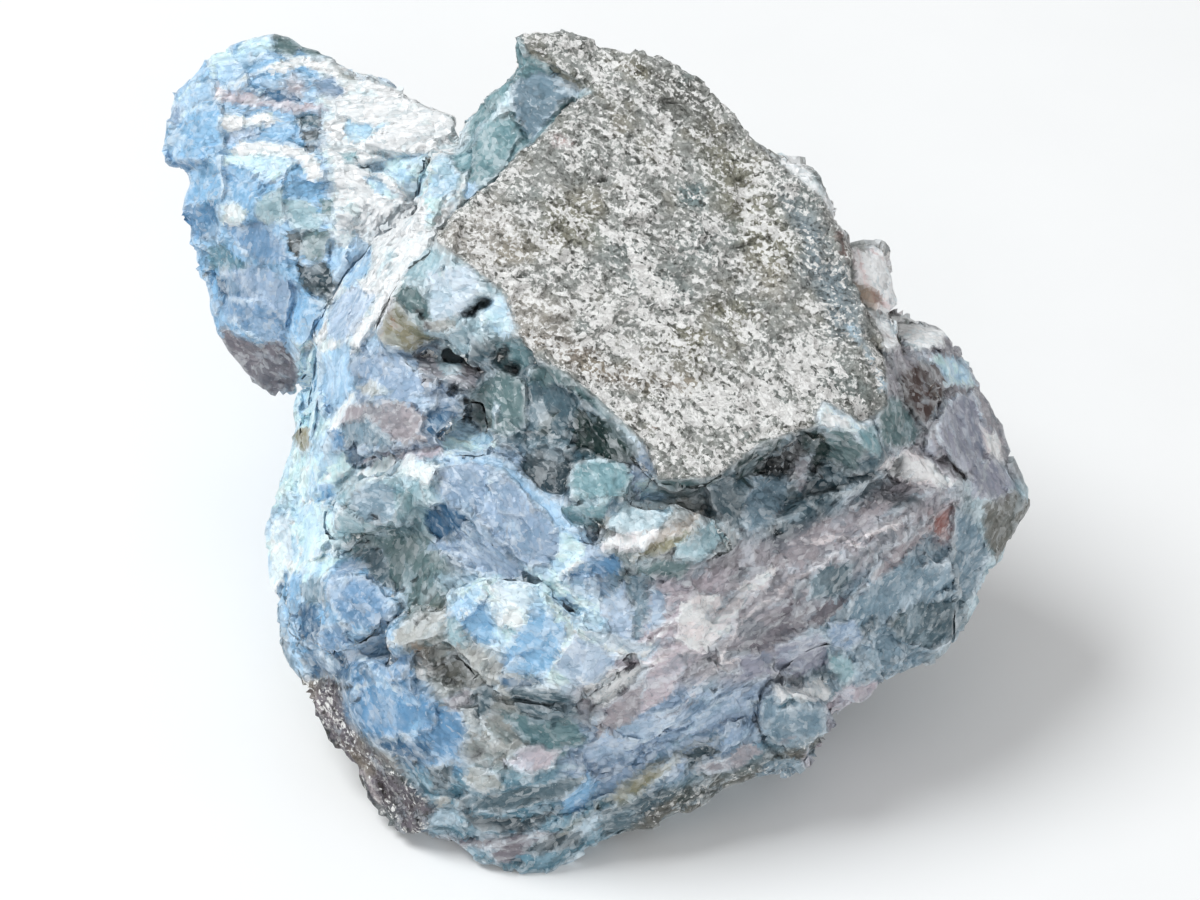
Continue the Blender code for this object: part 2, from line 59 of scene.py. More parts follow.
# The display view: 40 degrees above the table, from 400 mm in front of the stone's middle.
ELEVATION = np.radians(40)
DISTANCE = 400 * MM
MIDDLE = np.array((1.012, -5.028, 27.5)) * MM
RIGHT = np.array((1.0, 0.0, 0.0))
UP = np.array((0.0, np.sin(ELEVATION), np.cos(ELEVATION)))
TOWARD = np.array((0.0, -np.cos(ELEVATION), np.sin(ELEVATION)))
LENS = 120
SENSOR = 36

# Places on the display side are in picture units, of a tenth of a millimetre in the plane through the middle.
UNIT = 0.1 * MM
PICTURE_MIDDLE = (600, 450)

# The skin: how close corners are merged, how fine it is, how often it is eased, its most triangles, how far
# a face may be moved, the band that the rest face takes in, and the angle past which an edge is sharp
MERGED = 0.01 * MM
FINE = 0.28 * MM
EASING = 12
TRIANGLES = 197000
FARTHEST_MOVE = 1.6 * MM
REST_BAND = 0.35 * MM
SHARP = np.radians(32)

# Lifts and depths in the tables are drawn at this share of a millimetre each.
STEP = 0.6

# The slab's plane: how near it stands at the picture's middle, how it falls away to the right and upwards,
# and how thick the skin of it is
SLAB_NEAR = 19 * MM
SLAB_FALL = (0.15, 0.43)
SLAB_DEPTH = 1.7 * MM

# Colour: the added contrast and the light level that it leaves alone, how far round the edge the display
# side's colour is carried and how quickly it fades there, and the white crust of plain host rock
CONTRAST = 0.13
MIDDLE_LIGHT = 0.3
CARRIED = 9 * MM
FADING = 3.2 * MM
BASE_CRUST = 0.3

# Red, green and blue from 0 to 255
PALETTE = {
    "snow": (254, 255, 255), "frost": (228, 240, 249), "ice": (204, 229, 246), "sky": (172, 202, 226),
    "clear blue": (145, 186, 217), "sea blue": (106, 149, 184), "deep blue": (60, 106, 139),
    "teal blue": (104, 143, 160), "steel": (132, 154, 168), "lilac": (152, 173, 196),
    "pale lilac": (182, 199, 218), "lavender": (156, 157, 171), "plum": (126, 121, 128),
    "mauve": (164, 160, 166), "pink white": (250, 239, 239), "dusty pink": (168, 161, 166),
    "sage": (163, 189, 197), "pale sage": (194, 212, 219), "sea green": (124, 156, 162),
    "green grey": (106, 129, 131), "bottle green": (32, 59, 56), "black green": (16, 33, 32),
    "slate": (86, 109, 119), "dark slate": (52, 73, 82), "cloud": (190, 195, 197), "stone": (172, 174, 171),
    "dark stone": (112, 112, 106), "beige": (205, 198, 191), "tan": (168, 151, 137), "rust": (146, 84, 52),
    "brick": (150, 104, 98), "maroon": (82, 64, 60), "olive": (145, 141, 119), "mist": (206, 219, 230),
    "pale teal": (140, 173, 180), "dusk blue": (126, 159, 190), "pale pink": (196, 187, 194),
    "ink": (16, 22, 25),
}


def face(tint, *outline, lift=0.0, lean=(0.0, 0.0), soft=2, flat=0.75):
    """A broken face of the display side: lift in mm towards the viewer, lean as rise to right and upwards."""
    return dict(tint=tint, outline=outline, lift=lift, lean=lean, soft=soft, flat=flat)


def wash(tint, *outline, soft=14):
    """A soft-edged colour zone, with no shape of its own."""
    return dict(tint=tint, outline=outline, lift=0.0, lean=(0.0, 0.0), soft=soft, flat=0.0)


def line(tint, width, depth, *route):
    """A crack or line of painted shade, or with a negative depth a raised vein or painted highlight: width in
    picture units, depth in mm.
    """
    return dict(tint=tint, width=width, depth=depth, route=route)


# Broad colour zones of the display side
ZONES = {
    "lobe": wash("clear blue", (150, 20), (340, 20), (345, 330), (200, 340), (140, 150)),
    "fan": wash("snow", (320, 60), (480, 110), (485, 215), (430, 240), (345, 215), (325, 150)),
    "wall": wash("sea green", (465, 90), (520, 20), (620, 60), (600, 110), (540, 160), (480, 215),
        (455, 200)),
    "fan foot": wash("snow", (335, 195), (425, 205), (430, 230), (370, 250), (330, 245)),
    "ridge": wash("snow", (300, 330), (385, 215), (450, 215), (400, 290), (350, 350), (360, 400),
        (300, 470)),
    "lower ridge": wash("ice", (285, 400), (360, 350), (350, 450), (345, 560), (270, 640), (270, 500)),
    "lump": wash("pale sage", (385, 250), (500, 235), (525, 330), (470, 345), (400, 350)),
    "lilac field": wash("lilac", (345, 345), (470, 340), (470, 460), (350, 470), (330, 420)),
    # Painted shade in the recess under the slab's edge
    "bay": wash("slate", (455, 340), (560, 350), (650, 430), (660, 500), (560, 505), (470, 440)),
    "pale slope": wash("lilac", (430, 440), (520, 450), (600, 540), (640, 650), (520, 600), (420, 540)),
    "green knob": wash("sage", (330, 465), (440, 455), (440, 530), (340, 560)),
    "dark patch": wash("green grey", (345, 525), (440, 530), (450, 600), (390, 620), (345, 580)),
    "left blocks": wash("clear blue", (270, 560), (400, 560), (400, 650), (290, 680)),
    "bright block": wash("ice", (440, 580), (540, 560), (680, 650), (600, 720), (500, 680)),
    "cheek": wash("sea blue", (340, 650), (430, 650), (470, 720), (470, 790), (400, 760), (340, 720)),
    "dirty middle": wash("stone", (410, 640), (480, 640), (570, 700), (560, 760), (480, 790), (440, 720)),
    "bottom": wash("teal blue", (420, 770), (560, 770), (620, 800), (600, 880), (400, 880)),
    "pink slope": wash("mauve", (560, 700), (700, 570), (760, 510), (900, 440), (980, 480), (850, 640),
        (650, 780)),
    "pale pink slope": wash("pale pink", (600, 690), (660, 570), (730, 570), (730, 620), (660, 700)),
    "lilac flank": wash("lilac", (560, 740), (650, 690), (770, 680), (760, 740), (650, 790), (560, 800)),
    "slate right": wash("steel", (800, 640), (850, 580), (960, 520), (985, 600), (960, 660), (860, 690)),
    "right end": wash("mauve", (880, 330), (960, 330), (1010, 440), (1010, 500), (940, 500), (880, 430)),
    "tip": wash("pale sage", (960, 480), (1050, 480), (1040, 560), (970, 680), (940, 660), (980, 560)),
    # Painted shadow under the slab's lip
    "green hollow": wash("slate", (700, 420), (900, 400), (890, 480), (780, 540), (700, 520)),
    "left rind": wash("plum", (290, 684), (340, 672), (346, 722), (388, 762), (436, 806), (420, 850),
        (330, 780), soft=8),
    "lower rim": wash("dark stone", (640, 800), (760, 760), (880, 700), (980, 630), (990, 680), (860, 780),
        (600, 880)),
}

# Broken faces of the display side
FACES = {
    # Upper left lobe
    "lobe crown": face("ice", (205, 60), (214, 52), (232, 50), (262, 30), (280, 34), (276, 50), (258, 58),
        (243, 72), (228, 82), (214, 84), lift=0.3),
    "lobe crown shade": face("sky", (212, 66), (238, 64), (250, 54), (256, 58), (243, 72), (228, 84),
        (216, 84)),
    "grey cap": face("green grey", (274, 36), (285, 28), (300, 33), (330, 58), (312, 58), (298, 50),
        (288, 60), (276, 50), lift=0.3),
    "cap wedge": face("clear blue", (250, 64), (272, 52), (284, 60), (274, 69), (246, 75), lift=-0.3),
    "cap blue band": face("deep blue", (250, 99), (268, 92), (286, 89), (302, 100), (300, 107), (262, 107),
        lift=-0.5),
    "cap window": face("clear blue", (263, 78), (282, 75), (284, 86), (272, 92), (262, 88)),
    "cap right window": face("lilac", (312, 80), (330, 77), (344, 90), (340, 97), (320, 94), lift=-0.3),
    "cap stain": face("dusty pink", (284, 82), (297, 74), (307, 86), (306, 98), (290, 94), soft=6),
    "cap snow": face("snow", (262, 70), (300, 56), (345, 66), (370, 88), (350, 92), (325, 72), (300, 66),
        (285, 74)),
    "cap rind line": face("stone", (330, 62), (352, 72), (368, 86), (356, 84), (340, 76), soft=4),
    "lobe pink veil": face("pink white", (213, 80), (228, 88), (222, 102), (212, 96)),
    "knuckle": face("sky", (168, 104), (188, 86), (208, 78), (215, 84), (212, 94), (190, 112), (180, 124),
        (168, 122)),
    "knuckle shade": face("lilac", (166, 108), (178, 100), (186, 112), (180, 126), (168, 124),
        lean=(0.2, 0.2)),
    "nose": face("clear blue", (175, 129), (190, 112), (206, 104), (221, 102), (224, 124), (222, 150),
        (206, 160), (188, 168), (164, 160), (160, 148), lift=0.5),
    "nose left": face("sky", (160, 150), (172, 134), (180, 140), (176, 160), (164, 164), lean=(0.4, 0)),
    # Painted shade: the nose's underside, in a deeper blue
    "nose underside": face("sea blue", (160, 158), (182, 160), (204, 160), (188, 172), (172, 176),
        lean=(0, 0.5)),
    "lobe pink band": face("pale pink", (222, 90), (250, 88), (262, 98), (300, 104), (322, 102), (322, 112),
        (288, 110), (240, 102), (222, 102)),
    "lobe lens": face("slate", (288, 112), (323, 114), (321, 126), (302, 125), lift=-0.6, flat=1),
    "lobe dark lens": face("dark slate", (299, 127), (322, 127), (319, 139), (304, 141), lift=-0.8, flat=1),
    "lobe slot": face("dark slate", (300, 145), (318, 142), (318, 150), (306, 150), lift=-0.6, flat=1),
    "lobe white band": face("snow", (224, 114), (268, 114), (290, 122), (252, 126), (226, 129), lift=0.2),
    "lobe blue bay": face("clear blue", (262, 124), (290, 120), (300, 134), (286, 142), (268, 136),
        lift=-0.2),
    "lobe lilac bay": face("pale lilac", (226, 130), (252, 126), (262, 134), (240, 140), (226, 146),
        lift=-0.3),
    "lobe cream rim": face("snow", (222, 152), (242, 144), (264, 139), (292, 144), (312, 152), (324, 178),
        (312, 180), (300, 162), (270, 152), (236, 156), lift=0.4),
    "lobe upper cheek": face("ice", (206, 170), (226, 156), (252, 153), (282, 154), (296, 166), (280, 176),
        (262, 176), (248, 168), (228, 164)),
    "lobe left cheek": face("clear blue", (188, 172), (204, 163), (220, 158), (226, 185), (220, 204),
        (184, 204), (183, 190), lean=(0.1, 0)),
    "lobe left foot": face("sea blue", (180, 204), (217, 203), (216, 236), (190, 236), (182, 220),
        lift=-0.2),
    "lobe bright cheek": face("clear blue", (228, 162), (242, 174), (264, 178), (258, 194), (250, 206),
        (230, 202), (225, 184), lift=0.2),
    "lobe lozenge": face("frost", (222, 203), (240, 203), (246, 213), (236, 225), (221, 225), lift=0.3),
    "lobe green boss": face("sage", (254, 202), (268, 188), (284, 186), (288, 204), (282, 222), (262, 222),
        (254, 212), lift=0.4),
    "lobe pale boss": face("sage", (284, 200), (302, 197), (324, 214), (318, 228), (300, 232), (288, 222)),
    "boss dark side": face("black green", (284, 228), (298, 228), (303, 242), (298, 260), (287, 246),
        lift=-0.5),
    "boss speckled side": face("green grey", (300, 232), (328, 226), (330, 250), (316, 262), (302, 252)),
    "lobe grey nub": face("green grey", (318, 196), (334, 202), (332, 222), (322, 214), lift=-0.3),
    "lobe dark foot": face("dark slate", (294, 262), (322, 262), (336, 284), (328, 304), (306, 290),
        lift=-0.3),
    "lobe grey belly": face("sky", (328, 240), (352, 232), (372, 246), (368, 274), (350, 286), (333, 284),
        (326, 262), lift=0.3),
    "lobe belly shine": face("frost", (334, 226), (356, 232), (352, 246), (336, 248)),
    "lilac plate": face("dusk blue", (222, 228), (262, 220), (282, 240), (288, 262), (258, 262), (240, 250),
        lift=0.1),
    "lilac lower plate": face("lilac", (222, 264), (262, 262), (292, 282), (326, 310), (300, 322),
        (226, 322), (222, 290)),
    "lilac right plate": face("clear blue", (290, 284), (330, 308), (322, 328), (300, 350), (288, 330),
        lean=(-0.2, 0)),
    "left dark stripe": face("teal blue", (206, 246), (226, 242), (248, 266), (230, 272), (212, 268),
        lift=-0.3),
    "left dark wedge": face("deep blue", (218, 278), (232, 280), (242, 294), (230, 300), (220, 296),
        lift=-0.2),
    "lobe low plate": face("dusk blue", (216, 300), (262, 300), (290, 330), (286, 350), (240, 330),
        lean=(0, 0.2)),
    "lobe foot rind": face("plum", (264, 340), (284, 342), (300, 366), (294, 388), (276, 384), (262, 360),
        lift=0.2),
    "lobe rind edge": wash("plum", (222, 326), (242, 337), (266, 346), (290, 362), (298, 392), (262, 398),
        (236, 376), (218, 350), soft=4),

    # White fan and blades
    "fan top": face("snow", (332, 100), (400, 96), (470, 122), (430, 148), (360, 128), (338, 118),
        lift=0.2),
    "fan ray one": face("ice", (345, 120), (372, 126), (392, 120), (362, 142), (346, 138), lift=-0.2),
    "fan ray two": face("snow", (362, 148), (395, 128), (440, 138), (424, 150), (384, 152)),
    "blade hollow": face("ice", (372, 154), (426, 152), (430, 172), (424, 194), (408, 196), (392, 176),
        (358, 166), lift=-0.9, flat=0.9),
    "blade shelf": face("snow", (350, 162), (376, 154), (388, 158), (366, 166), lift=0.3),
    "blade low ray": face("ice", (354, 176), (372, 176), (394, 190), (398, 200), (370, 192), lift=-0.3),
    "blade snow": face("snow", (335, 170), (356, 172), (372, 194), (400, 202), (420, 202), (400, 208),
        (356, 206), (338, 190), lift=0.3),
    "pointed blade": face("ice", (428, 162), (446, 151), (455, 164), (460, 172), (448, 196), (434, 224),
        (422, 228), (424, 196), lift=1.1, lean=(-0.3, 0)),
    "green step": face("pale teal", (446, 153), (470, 149), (474, 164), (462, 173), (454, 164), lift=-0.3),
    "blade right ray": face("frost", (440, 226), (452, 200), (466, 172), (480, 168), (476, 190), (460, 206),
        lift=0.4),
    "blade base blue": face("sky", (466, 186), (480, 188), (476, 200), (464, 200)),
    "grey fan root": face("pale teal", (338, 152), (352, 150), (358, 160), (346, 164), lift=-0.4),

    # Teal wall under the slab's overhang
    "wall blue face": face("steel", (514, 82), (530, 72), (575, 80), (590, 90), (562, 106), (548, 122),
        (532, 142), (520, 124), (510, 104), lift=0.2),
    "wall left face": face("pale sage", (478, 130), (492, 116), (512, 82), (514, 104), (500, 116)),
    "wall green face": face("sea green", (476, 130), (508, 114), (520, 138), (508, 158), (484, 196),
        (466, 198), (470, 166), lift=-0.2),
    "wall foot": face("sky", (458, 196), (468, 180), (482, 190), (474, 202)),
    # Painted shadow under the tip of the slab
    "tip underside": face("black green", (548, 58), (570, 72), (598, 90), (578, 92), (552, 74), lift=-0.5),

    # Granular lump
    "lump green brow": face("sage", (402, 256), (428, 246), (446, 256), (438, 276), (414, 282), (400, 272),
        lift=0.4),
    "lump pale face": face("mist", (428, 270), (470, 262), (482, 288), (466, 314), (446, 328), (430, 312),
        lift=0.3),
    "lump pit": face("green grey", (396, 284), (420, 288), (430, 314), (420, 330), (406, 322), (396, 302),
        lift=-0.5),
    "lump right face": face("ice", (486, 300), (520, 290), (530, 324), (500, 338), (484, 322)),
    "beige wedge": face("olive", (376, 338), (384, 314), (398, 298), (414, 320), (422, 334), (440, 338),
        (412, 353), lift=0.7, lean=(0.1, 0.2)),
    "wedge ledge": face("stone", (422, 320), (462, 314), (450, 330), (428, 332), lift=0.3),

    # White ridge and flank
    "ridge crest": face("snow", (384, 290), (400, 240), (446, 222), (412, 262), (392, 300), (362, 350),
        (346, 346), lift=0.4),
    "ridge blue face": face("sky", (322, 352), (346, 340), (354, 392), (342, 402), (328, 410), (320, 390),
        lift=-0.2),
    "ridge sage face": face("pale lilac", (330, 302), (352, 286), (376, 294), (364, 318), (344, 340),
        (328, 338)),
    "ridge pale edge": face("frost", (342, 402), (356, 392), (350, 420), (332, 440), (326, 424), lift=0.3),
    "flank plate": face("ice", (302, 350), (318, 342), (318, 400), (310, 442), (296, 430), (294, 398),
        lift=0.2),
    "flank lens": face("ice", (302, 374), (312, 380), (308, 416), (301, 414)),
    "brown nub": face("olive", (293, 426), (310, 428), (313, 444), (301, 452), (294, 442), lift=0.3),
    "ridge lower blue": face("sea blue", (326, 430), (342, 428), (344, 448), (332, 452)),
    "flank net": face("ice", (312, 452), (344, 452), (352, 468), (330, 486), (306, 498), (302, 470)),
    "flank blue lens": face("clear blue", (318, 484), (334, 480), (336, 496), (320, 502), lift=-0.3),
    "flank ice": face("ice", (296, 504), (338, 504), (332, 540), (318, 562), (292, 572), (284, 548)),
    "flank edge": face("frost", (272, 520), (292, 508), (290, 560), (276, 600), (266, 590)),
    "flank white veins": face("ice", (300, 560), (330, 556), (346, 552), (318, 580), (300, 590), lift=0.2),

    # Lilac and pink field
    "lilac brow": face("lilac", (354, 354), (394, 352), (412, 364), (424, 392), (400, 404), (370, 392),
        (352, 372)),
    "pink ledge": face("stone", (354, 386), (372, 378), (392, 396), (372, 398)),
    "grey shoulder": face("mauve", (414, 356), (442, 350), (462, 362), (486, 372), (470, 390), (440, 378),
        (424, 388), lift=-0.4),
    "pink upright": face("pale sage", (440, 344), (466, 318), (470, 350), (456, 374), (444, 376),
        (436, 362), lift=0.5),
    "pink brown plate": face("dusty pink", (346, 406), (396, 402), (428, 416), (432, 438), (404, 448),
        (368, 428), (336, 426), lift=0.2),
    "blue lens": face("deep blue", (424, 404), (444, 400), (453, 410), (450, 426), (440, 436), (422, 432),
        lift=-0.4),
    "blue band": face("steel", (338, 426), (362, 420), (388, 432), (394, 444), (372, 450), (346, 446),
        lift=-0.2),
    "pink roll": face("pale pink", (350, 462), (390, 450), (440, 446), (470, 430), (452, 450), (410, 462),
        (376, 462), lift=0.3),
    "lilac saddle": face("ice", (440, 436), (456, 420), (476, 424), (500, 446), (470, 450), (446, 452)),

    # Slate bay under the slab: its slates, greens and dark depths are painted shade in the recess under the
    # slab's edge
    "bay left": face("green grey", (470, 396), (486, 380), (500, 364), (522, 378), (532, 398), (524, 426),
        (508, 436), (486, 428), (472, 414), lift=0.3),
    "bay middle": face("slate", (526, 376), (560, 386), (580, 404), (566, 432), (546, 442), (526, 446)),
    "bay deep": face("dark slate", (524, 450), (560, 446), (574, 462), (562, 500), (540, 490), (520, 468),
        lift=-0.6),
    "bay right": face("bottle green", (576, 408), (640, 430), (648, 452), (628, 462), (600, 458),
        (574, 446), lift=-0.2),
    "bay brow": face("green grey", (528, 366), (560, 366), (602, 392), (642, 428), (636, 440), (600, 412),
        (560, 384), (530, 380), lift=0.6),
    "bay post": face("lilac", (640, 440), (656, 450), (656, 496), (636, 498), (630, 474), lift=0.3),
    "bay green roof": face("sea green", (496, 342), (524, 338), (534, 360), (512, 372), (496, 364),
        lift=-0.8),
    "bay veil": face("teal blue", (494, 398), (500, 404), (498, 424), (490, 412)),
    "bay veil two": face("bottle green", (540, 416), (560, 410), (546, 432), (532, 436)),

    # Pale slope and aqua blocks
    "slope crest": face("sky", (432, 460), (450, 450), (484, 448), (512, 462), (534, 484), (566, 500),
        (592, 546), (570, 538), (530, 498), (500, 470), (456, 462), lift=0.6),
    "slope left": face("lilac", (440, 470), (470, 462), (492, 470), (480, 506), (458, 506), (440, 490),
        lift=-0.2),
    "slope middle": face("lilac", (492, 472), (520, 490), (540, 520), (500, 528), (474, 520), (484, 500)),
    "slope right": face("lilac", (500, 526), (540, 506), (560, 530), (548, 566), (520, 560)),
    "slope low right": face("ice", (548, 566), (562, 530), (586, 546), (578, 566), (556, 582), (540, 578),
        lift=0.4),
    "slope low": face("pale lilac", (452, 548), (476, 530), (516, 560), (530, 580), (500, 576), (470, 570)),
    "blue dart": face("deep blue", (424, 508), (446, 502), (470, 516), (458, 530), (440, 540), (428, 528),
        lift=-0.5),
    "aqua left top": face("pale teal", (574, 464), (600, 457), (626, 464), (634, 482), (630, 496),
        (600, 499), (574, 498), (568, 484), lift=1.0),
    "aqua left low": face("pale teal", (562, 502), (612, 499), (604, 516), (596, 532), (574, 524), lift=0.3,
        lean=(0, 0.3)),
    "aqua right": face("pale sage", (626, 500), (656, 501), (678, 506), (660, 528), (640, 536), (604, 529),
        (612, 516), lift=0.9),
    # Painted shade in the crease between the aqua blocks
    "aqua crease": face("steel", (612, 500), (624, 503), (612, 516), (602, 516), lift=-0.3),
    "slot wall": face("ice", (636, 480), (664, 476), (690, 492), (660, 500), (640, 499)),
    "slab tongue": face("green grey", (650, 474), (702, 474), (704, 492), (676, 494)),

    # Fibrous block
    "fibre white": face("pink white", (598, 546), (626, 532), (662, 528), (652, 544), (626, 551), lift=0.6),
    "fibre beige": face("beige", (640, 546), (664, 526), (700, 508), (704, 520), (672, 544), (646, 560),
        lift=0.4),
    "fibre brown": face("olive", (632, 562), (650, 548), (690, 530), (704, 524), (694, 540), (660, 556),
        lift=-0.1),
    "fibre aqua": face("sage", (674, 560), (680, 542), (704, 526), (722, 520), (734, 530), (716, 548),
        (694, 562), lift=0.3),
    "fibre grey end": face("cloud", (720, 518), (736, 528), (744, 536), (734, 550), (710, 560), (724, 540),
        lift=0.3),
    "fibre dark foot": face("green grey", (634, 568), (660, 560), (694, 564), (680, 578), (648, 576),
        lift=-0.4),

    # Green hollow under its pale lip: its greens, slates and inky depths are painted shadow under the slab's
    # lip
    "lip": face("frost", (812, 394), (834, 397), (860, 410), (874, 426), (858, 432), (834, 430), (818, 424),
        lift=0.6),
    "tongue lip": face("green grey", (650, 476), (704, 480), (722, 474), (704, 494), (668, 498), lift=0.3),
    "lip right": face("pale teal", (872, 424), (884, 444), (876, 456), (860, 448), (858, 432), lift=0.4),
    "under lip": face("green grey", (822, 426), (856, 432), (866, 452), (852, 470), (826, 466), (816, 448)),
    "green depth": face("bottle green", (800, 432), (824, 426), (830, 452), (818, 470), (800, 462),
        lift=-0.3),
    "dark depth": face("ink", (754, 474), (764, 458), (790, 444), (802, 434), (804, 456), (790, 474),
        lift=-0.8),
    "hollow hanging face": face("bottle green", (738, 452), (752, 440), (778, 432), (790, 434), (764, 460),
        (754, 476), (734, 480), lift=0.3),
    "hollow left face": face("slate", (702, 486), (734, 480), (756, 476), (750, 506), (738, 526),
        (716, 514)),
    "hollow middle face": face("steel", (756, 476), (790, 474), (778, 508), (768, 524), (750, 530),
        (740, 522)),
    "hollow grey face": face("mauve", (790, 478), (796, 458), (812, 452), (812, 470), (798, 488)),
    "rough band": face("dark slate", (800, 480), (838, 478), (876, 468), (880, 476), (850, 490), (812, 496),
        lift=-0.4),

    # Pink slope
    "block stripe pale": face("pale lilac", (596, 606), (626, 580), (634, 640), (616, 640)),
    "block stripe blue": face("steel", (632, 578), (648, 580), (642, 636), (634, 640), lift=-0.3),
    "block stripe lilac": face("lilac", (650, 586), (666, 590), (660, 622), (644, 634)),
    "small wedge": face("sea blue", (566, 580), (586, 560), (608, 552), (622, 560), (620, 572), (590, 574),
        lift=-0.3),
    "pink pale plate": face("pink white", (676, 640), (684, 602), (702, 590), (728, 592), (716, 624),
        (698, 650), lift=0.3),
    "pink low plate": face("pale pink", (644, 662), (684, 648), (686, 668), (668, 700), (634, 716),
        (624, 690)),
    "pink long plate": face("dusty pink", (600, 720), (650, 664), (640, 710), (620, 740), (590, 760)),
    "pink rib one": face("pink white", (700, 640), (730, 596), (780, 560), (770, 582), (736, 616),
        (712, 650), lift=0.3),
    "pink rib two": face("dusty pink", (768, 560), (820, 520), (880, 496), (900, 504), (840, 540),
        (790, 580), lift=0.3),
    "pink rib three": face("pink white", (880, 466), (905, 448), (924, 458), (960, 484), (930, 486),
        (896, 480), lift=0.5),
    "tan rib": face("dusty pink", (868, 578), (900, 546), (962, 498), (952, 514), (910, 552), (876, 590)),
    "grey plum plate": face("plum", (744, 644), (790, 604), (828, 592), (850, 602), (820, 626), (776, 636),
        (756, 656), lift=-0.2),
    "plum foot": face("lavender", (732, 656), (772, 650), (770, 676), (742, 680)),
    "blue window": face("slate", (806, 582), (830, 560), (856, 564), (850, 582), (836, 602), (812, 602)),
    "lavender plate": face("lavender", (774, 642), (820, 632), (828, 650), (824, 666), (800, 676),
        (774, 668), lift=0.3),
    "slate plate": face("steel", (846, 600), (890, 572), (950, 560), (956, 592), (920, 600), (880, 622),
        (850, 626)),
    "slate dark side": face("slate", (884, 620), (920, 602), (964, 600), (972, 630), (930, 648), (898, 640),
        lift=-0.2),
    "lilac strip": face("pale lilac", (668, 752), (706, 706), (732, 690), (756, 700), (744, 716),
        (704, 732)),
    "flank light": face("pale lilac", (588, 742), (640, 716), (690, 704), (668, 728), (620, 756),
        (584, 768)),
    "flank blue strip": face("clear blue", (560, 780), (590, 770), (600, 786), (580, 812), (560, 812),
        lift=-0.2),

    # Right end
    "sliver": face("snow", (772, 138), (800, 160), (832, 196), (856, 226), (838, 232), (814, 206),
        (784, 178), flat=0.1),
    "red knob": face("pink white", (850, 247), (886, 250), (899, 265), (902, 300), (892, 318), (868, 304),
        (852, 276), lift=0.2),
    "knob white side": face("snow", (868, 258), (888, 256), (892, 284), (878, 280), lift=0.2),
    "knob grey side": face("tan", (852, 278), (870, 284), (884, 300), (872, 306), (856, 296)),
    "beige corner": face("snow", (862, 306), (892, 318), (902, 340), (892, 352), (874, 340), lift=0.2),
    "white cap": face("snow", (892, 318), (912, 314), (948, 334), (940, 350), (914, 348), (900, 336),
        lift=0.3),
    "cap foot": face("ice", (930, 354), (966, 358), (976, 384), (950, 386), (934, 370)),
    "brown pocket": face("maroon", (902, 372), (918, 358), (938, 364), (950, 380), (938, 408), (918, 420),
        (904, 400), lift=-0.4),
    "pocket grey foot": face("maroon", (912, 402), (938, 398), (934, 418), (920, 424)),
    "right lilac face": face("lavender", (944, 402), (972, 390), (996, 436), (984, 458), (962, 474),
        (944, 452), (936, 430), lift=0.2),
    "right pink edge": face("pink white", (978, 418), (1000, 440), (1004, 462), (988, 452)),
    "right plate": face("lavender", (968, 474), (986, 456), (1008, 466), (1018, 488), (1000, 500),
        (976, 498), lift=0.4),
    "tip face": face("dark stone", (984, 504), (1018, 490), (1038, 510), (1020, 540), (998, 562),
        (984, 540)),
    "blue strip": face("steel", (956, 504), (974, 520), (988, 552), (972, 600), (954, 592), (950, 544),
        lift=0.2),
    "brown stain": face("brick", (930, 514), (954, 502), (952, 540), (940, 548), (930, 530), soft=8),
    "crack bead": face("lavender", (924, 438), (934, 440), (938, 450), (930, 458), (922, 450), lift=0.4),
    "vein block": face("green grey", (880, 400), (900, 396), (922, 430), (916, 446), (886, 446),
        (878, 424)),

    # Nodule and the blocks beside it
    "nodule top": face("snow", (772, 684), (802, 684), (822, 680), (832, 690), (826, 700), (800, 700),
        (780, 704), lift=1.8, lean=(0, -0.5)),
    "nodule left": face("steel", (756, 718), (766, 694), (776, 690), (782, 716), (764, 720), lift=1.2,
        lean=(0.3, 0)),
    "nodule front": face("steel", (762, 722), (784, 708), (826, 704), (830, 730), (804, 750), (776, 746),
        lift=1.7, lean=(0.1, 0.2)),
    "nodule foot": face("steel", (760, 764), (780, 758), (802, 762), (800, 782), (780, 788), (756, 782)),
    "nodule rind": face("pale pink", (826, 704), (848, 684), (884, 680), (872, 712), (840, 748), (808, 776),
        (800, 762), (830, 732)),
    "block beside": face("lilac", (826, 624), (858, 618), (866, 640), (850, 648), (830, 648)),
    "block green foot": face("pale teal", (828, 652), (850, 656), (862, 672), (840, 684), (828, 668)),

    # Bright block
    "blue triangle": face("clear blue", (460, 622), (485, 596), (498, 642), (478, 640), lift=-0.5, flat=1),
    "white face": face("frost", (488, 584), (530, 574), (532, 600), (516, 632), (498, 628), lift=0.5),
    "ice shoulder": face("sky", (446, 604), (484, 580), (486, 596), (460, 622), (444, 620), lift=0.3),
    "block face": face("clear blue", (516, 634), (534, 602), (568, 624), (560, 652), (540, 674), (504, 674),
        (500, 644), lift=0.3),
    "block lilac face": face("pale lilac", (562, 652), (576, 630), (620, 654), (612, 672), (596, 690),
        (560, 674), (550, 668), lift=0.5),
    "block white edge": face("mist", (576, 628), (590, 628), (660, 646), (640, 660), (612, 654), lift=0.3),
    "block low lilac": face("snow", (580, 690), (612, 672), (650, 664), (620, 694), (600, 706), lift=-0.2),
    # Painted shade under the bright block's ledge
    "block under ledge": face("slate", (512, 690), (540, 684), (572, 700), (580, 716), (548, 722),
        (516, 712), lift=-0.7),
    "block under slope": face("sea green", (500, 712), (570, 720), (590, 738), (560, 760), (520, 740)),
    "pale rim": face("deep blue", (496, 676), (520, 680), (540, 674), (530, 688), (510, 690)),

    # Green knob, dark patch and left blocks
    "knob rim": face("frost", (350, 470), (380, 458), (412, 454), (440, 466), (430, 486), (400, 474),
        (366, 478), lift=0.4),
    "knob green face": face("steel", (352, 492), (376, 478), (394, 486), (396, 520), (376, 526),
        (352, 508)),
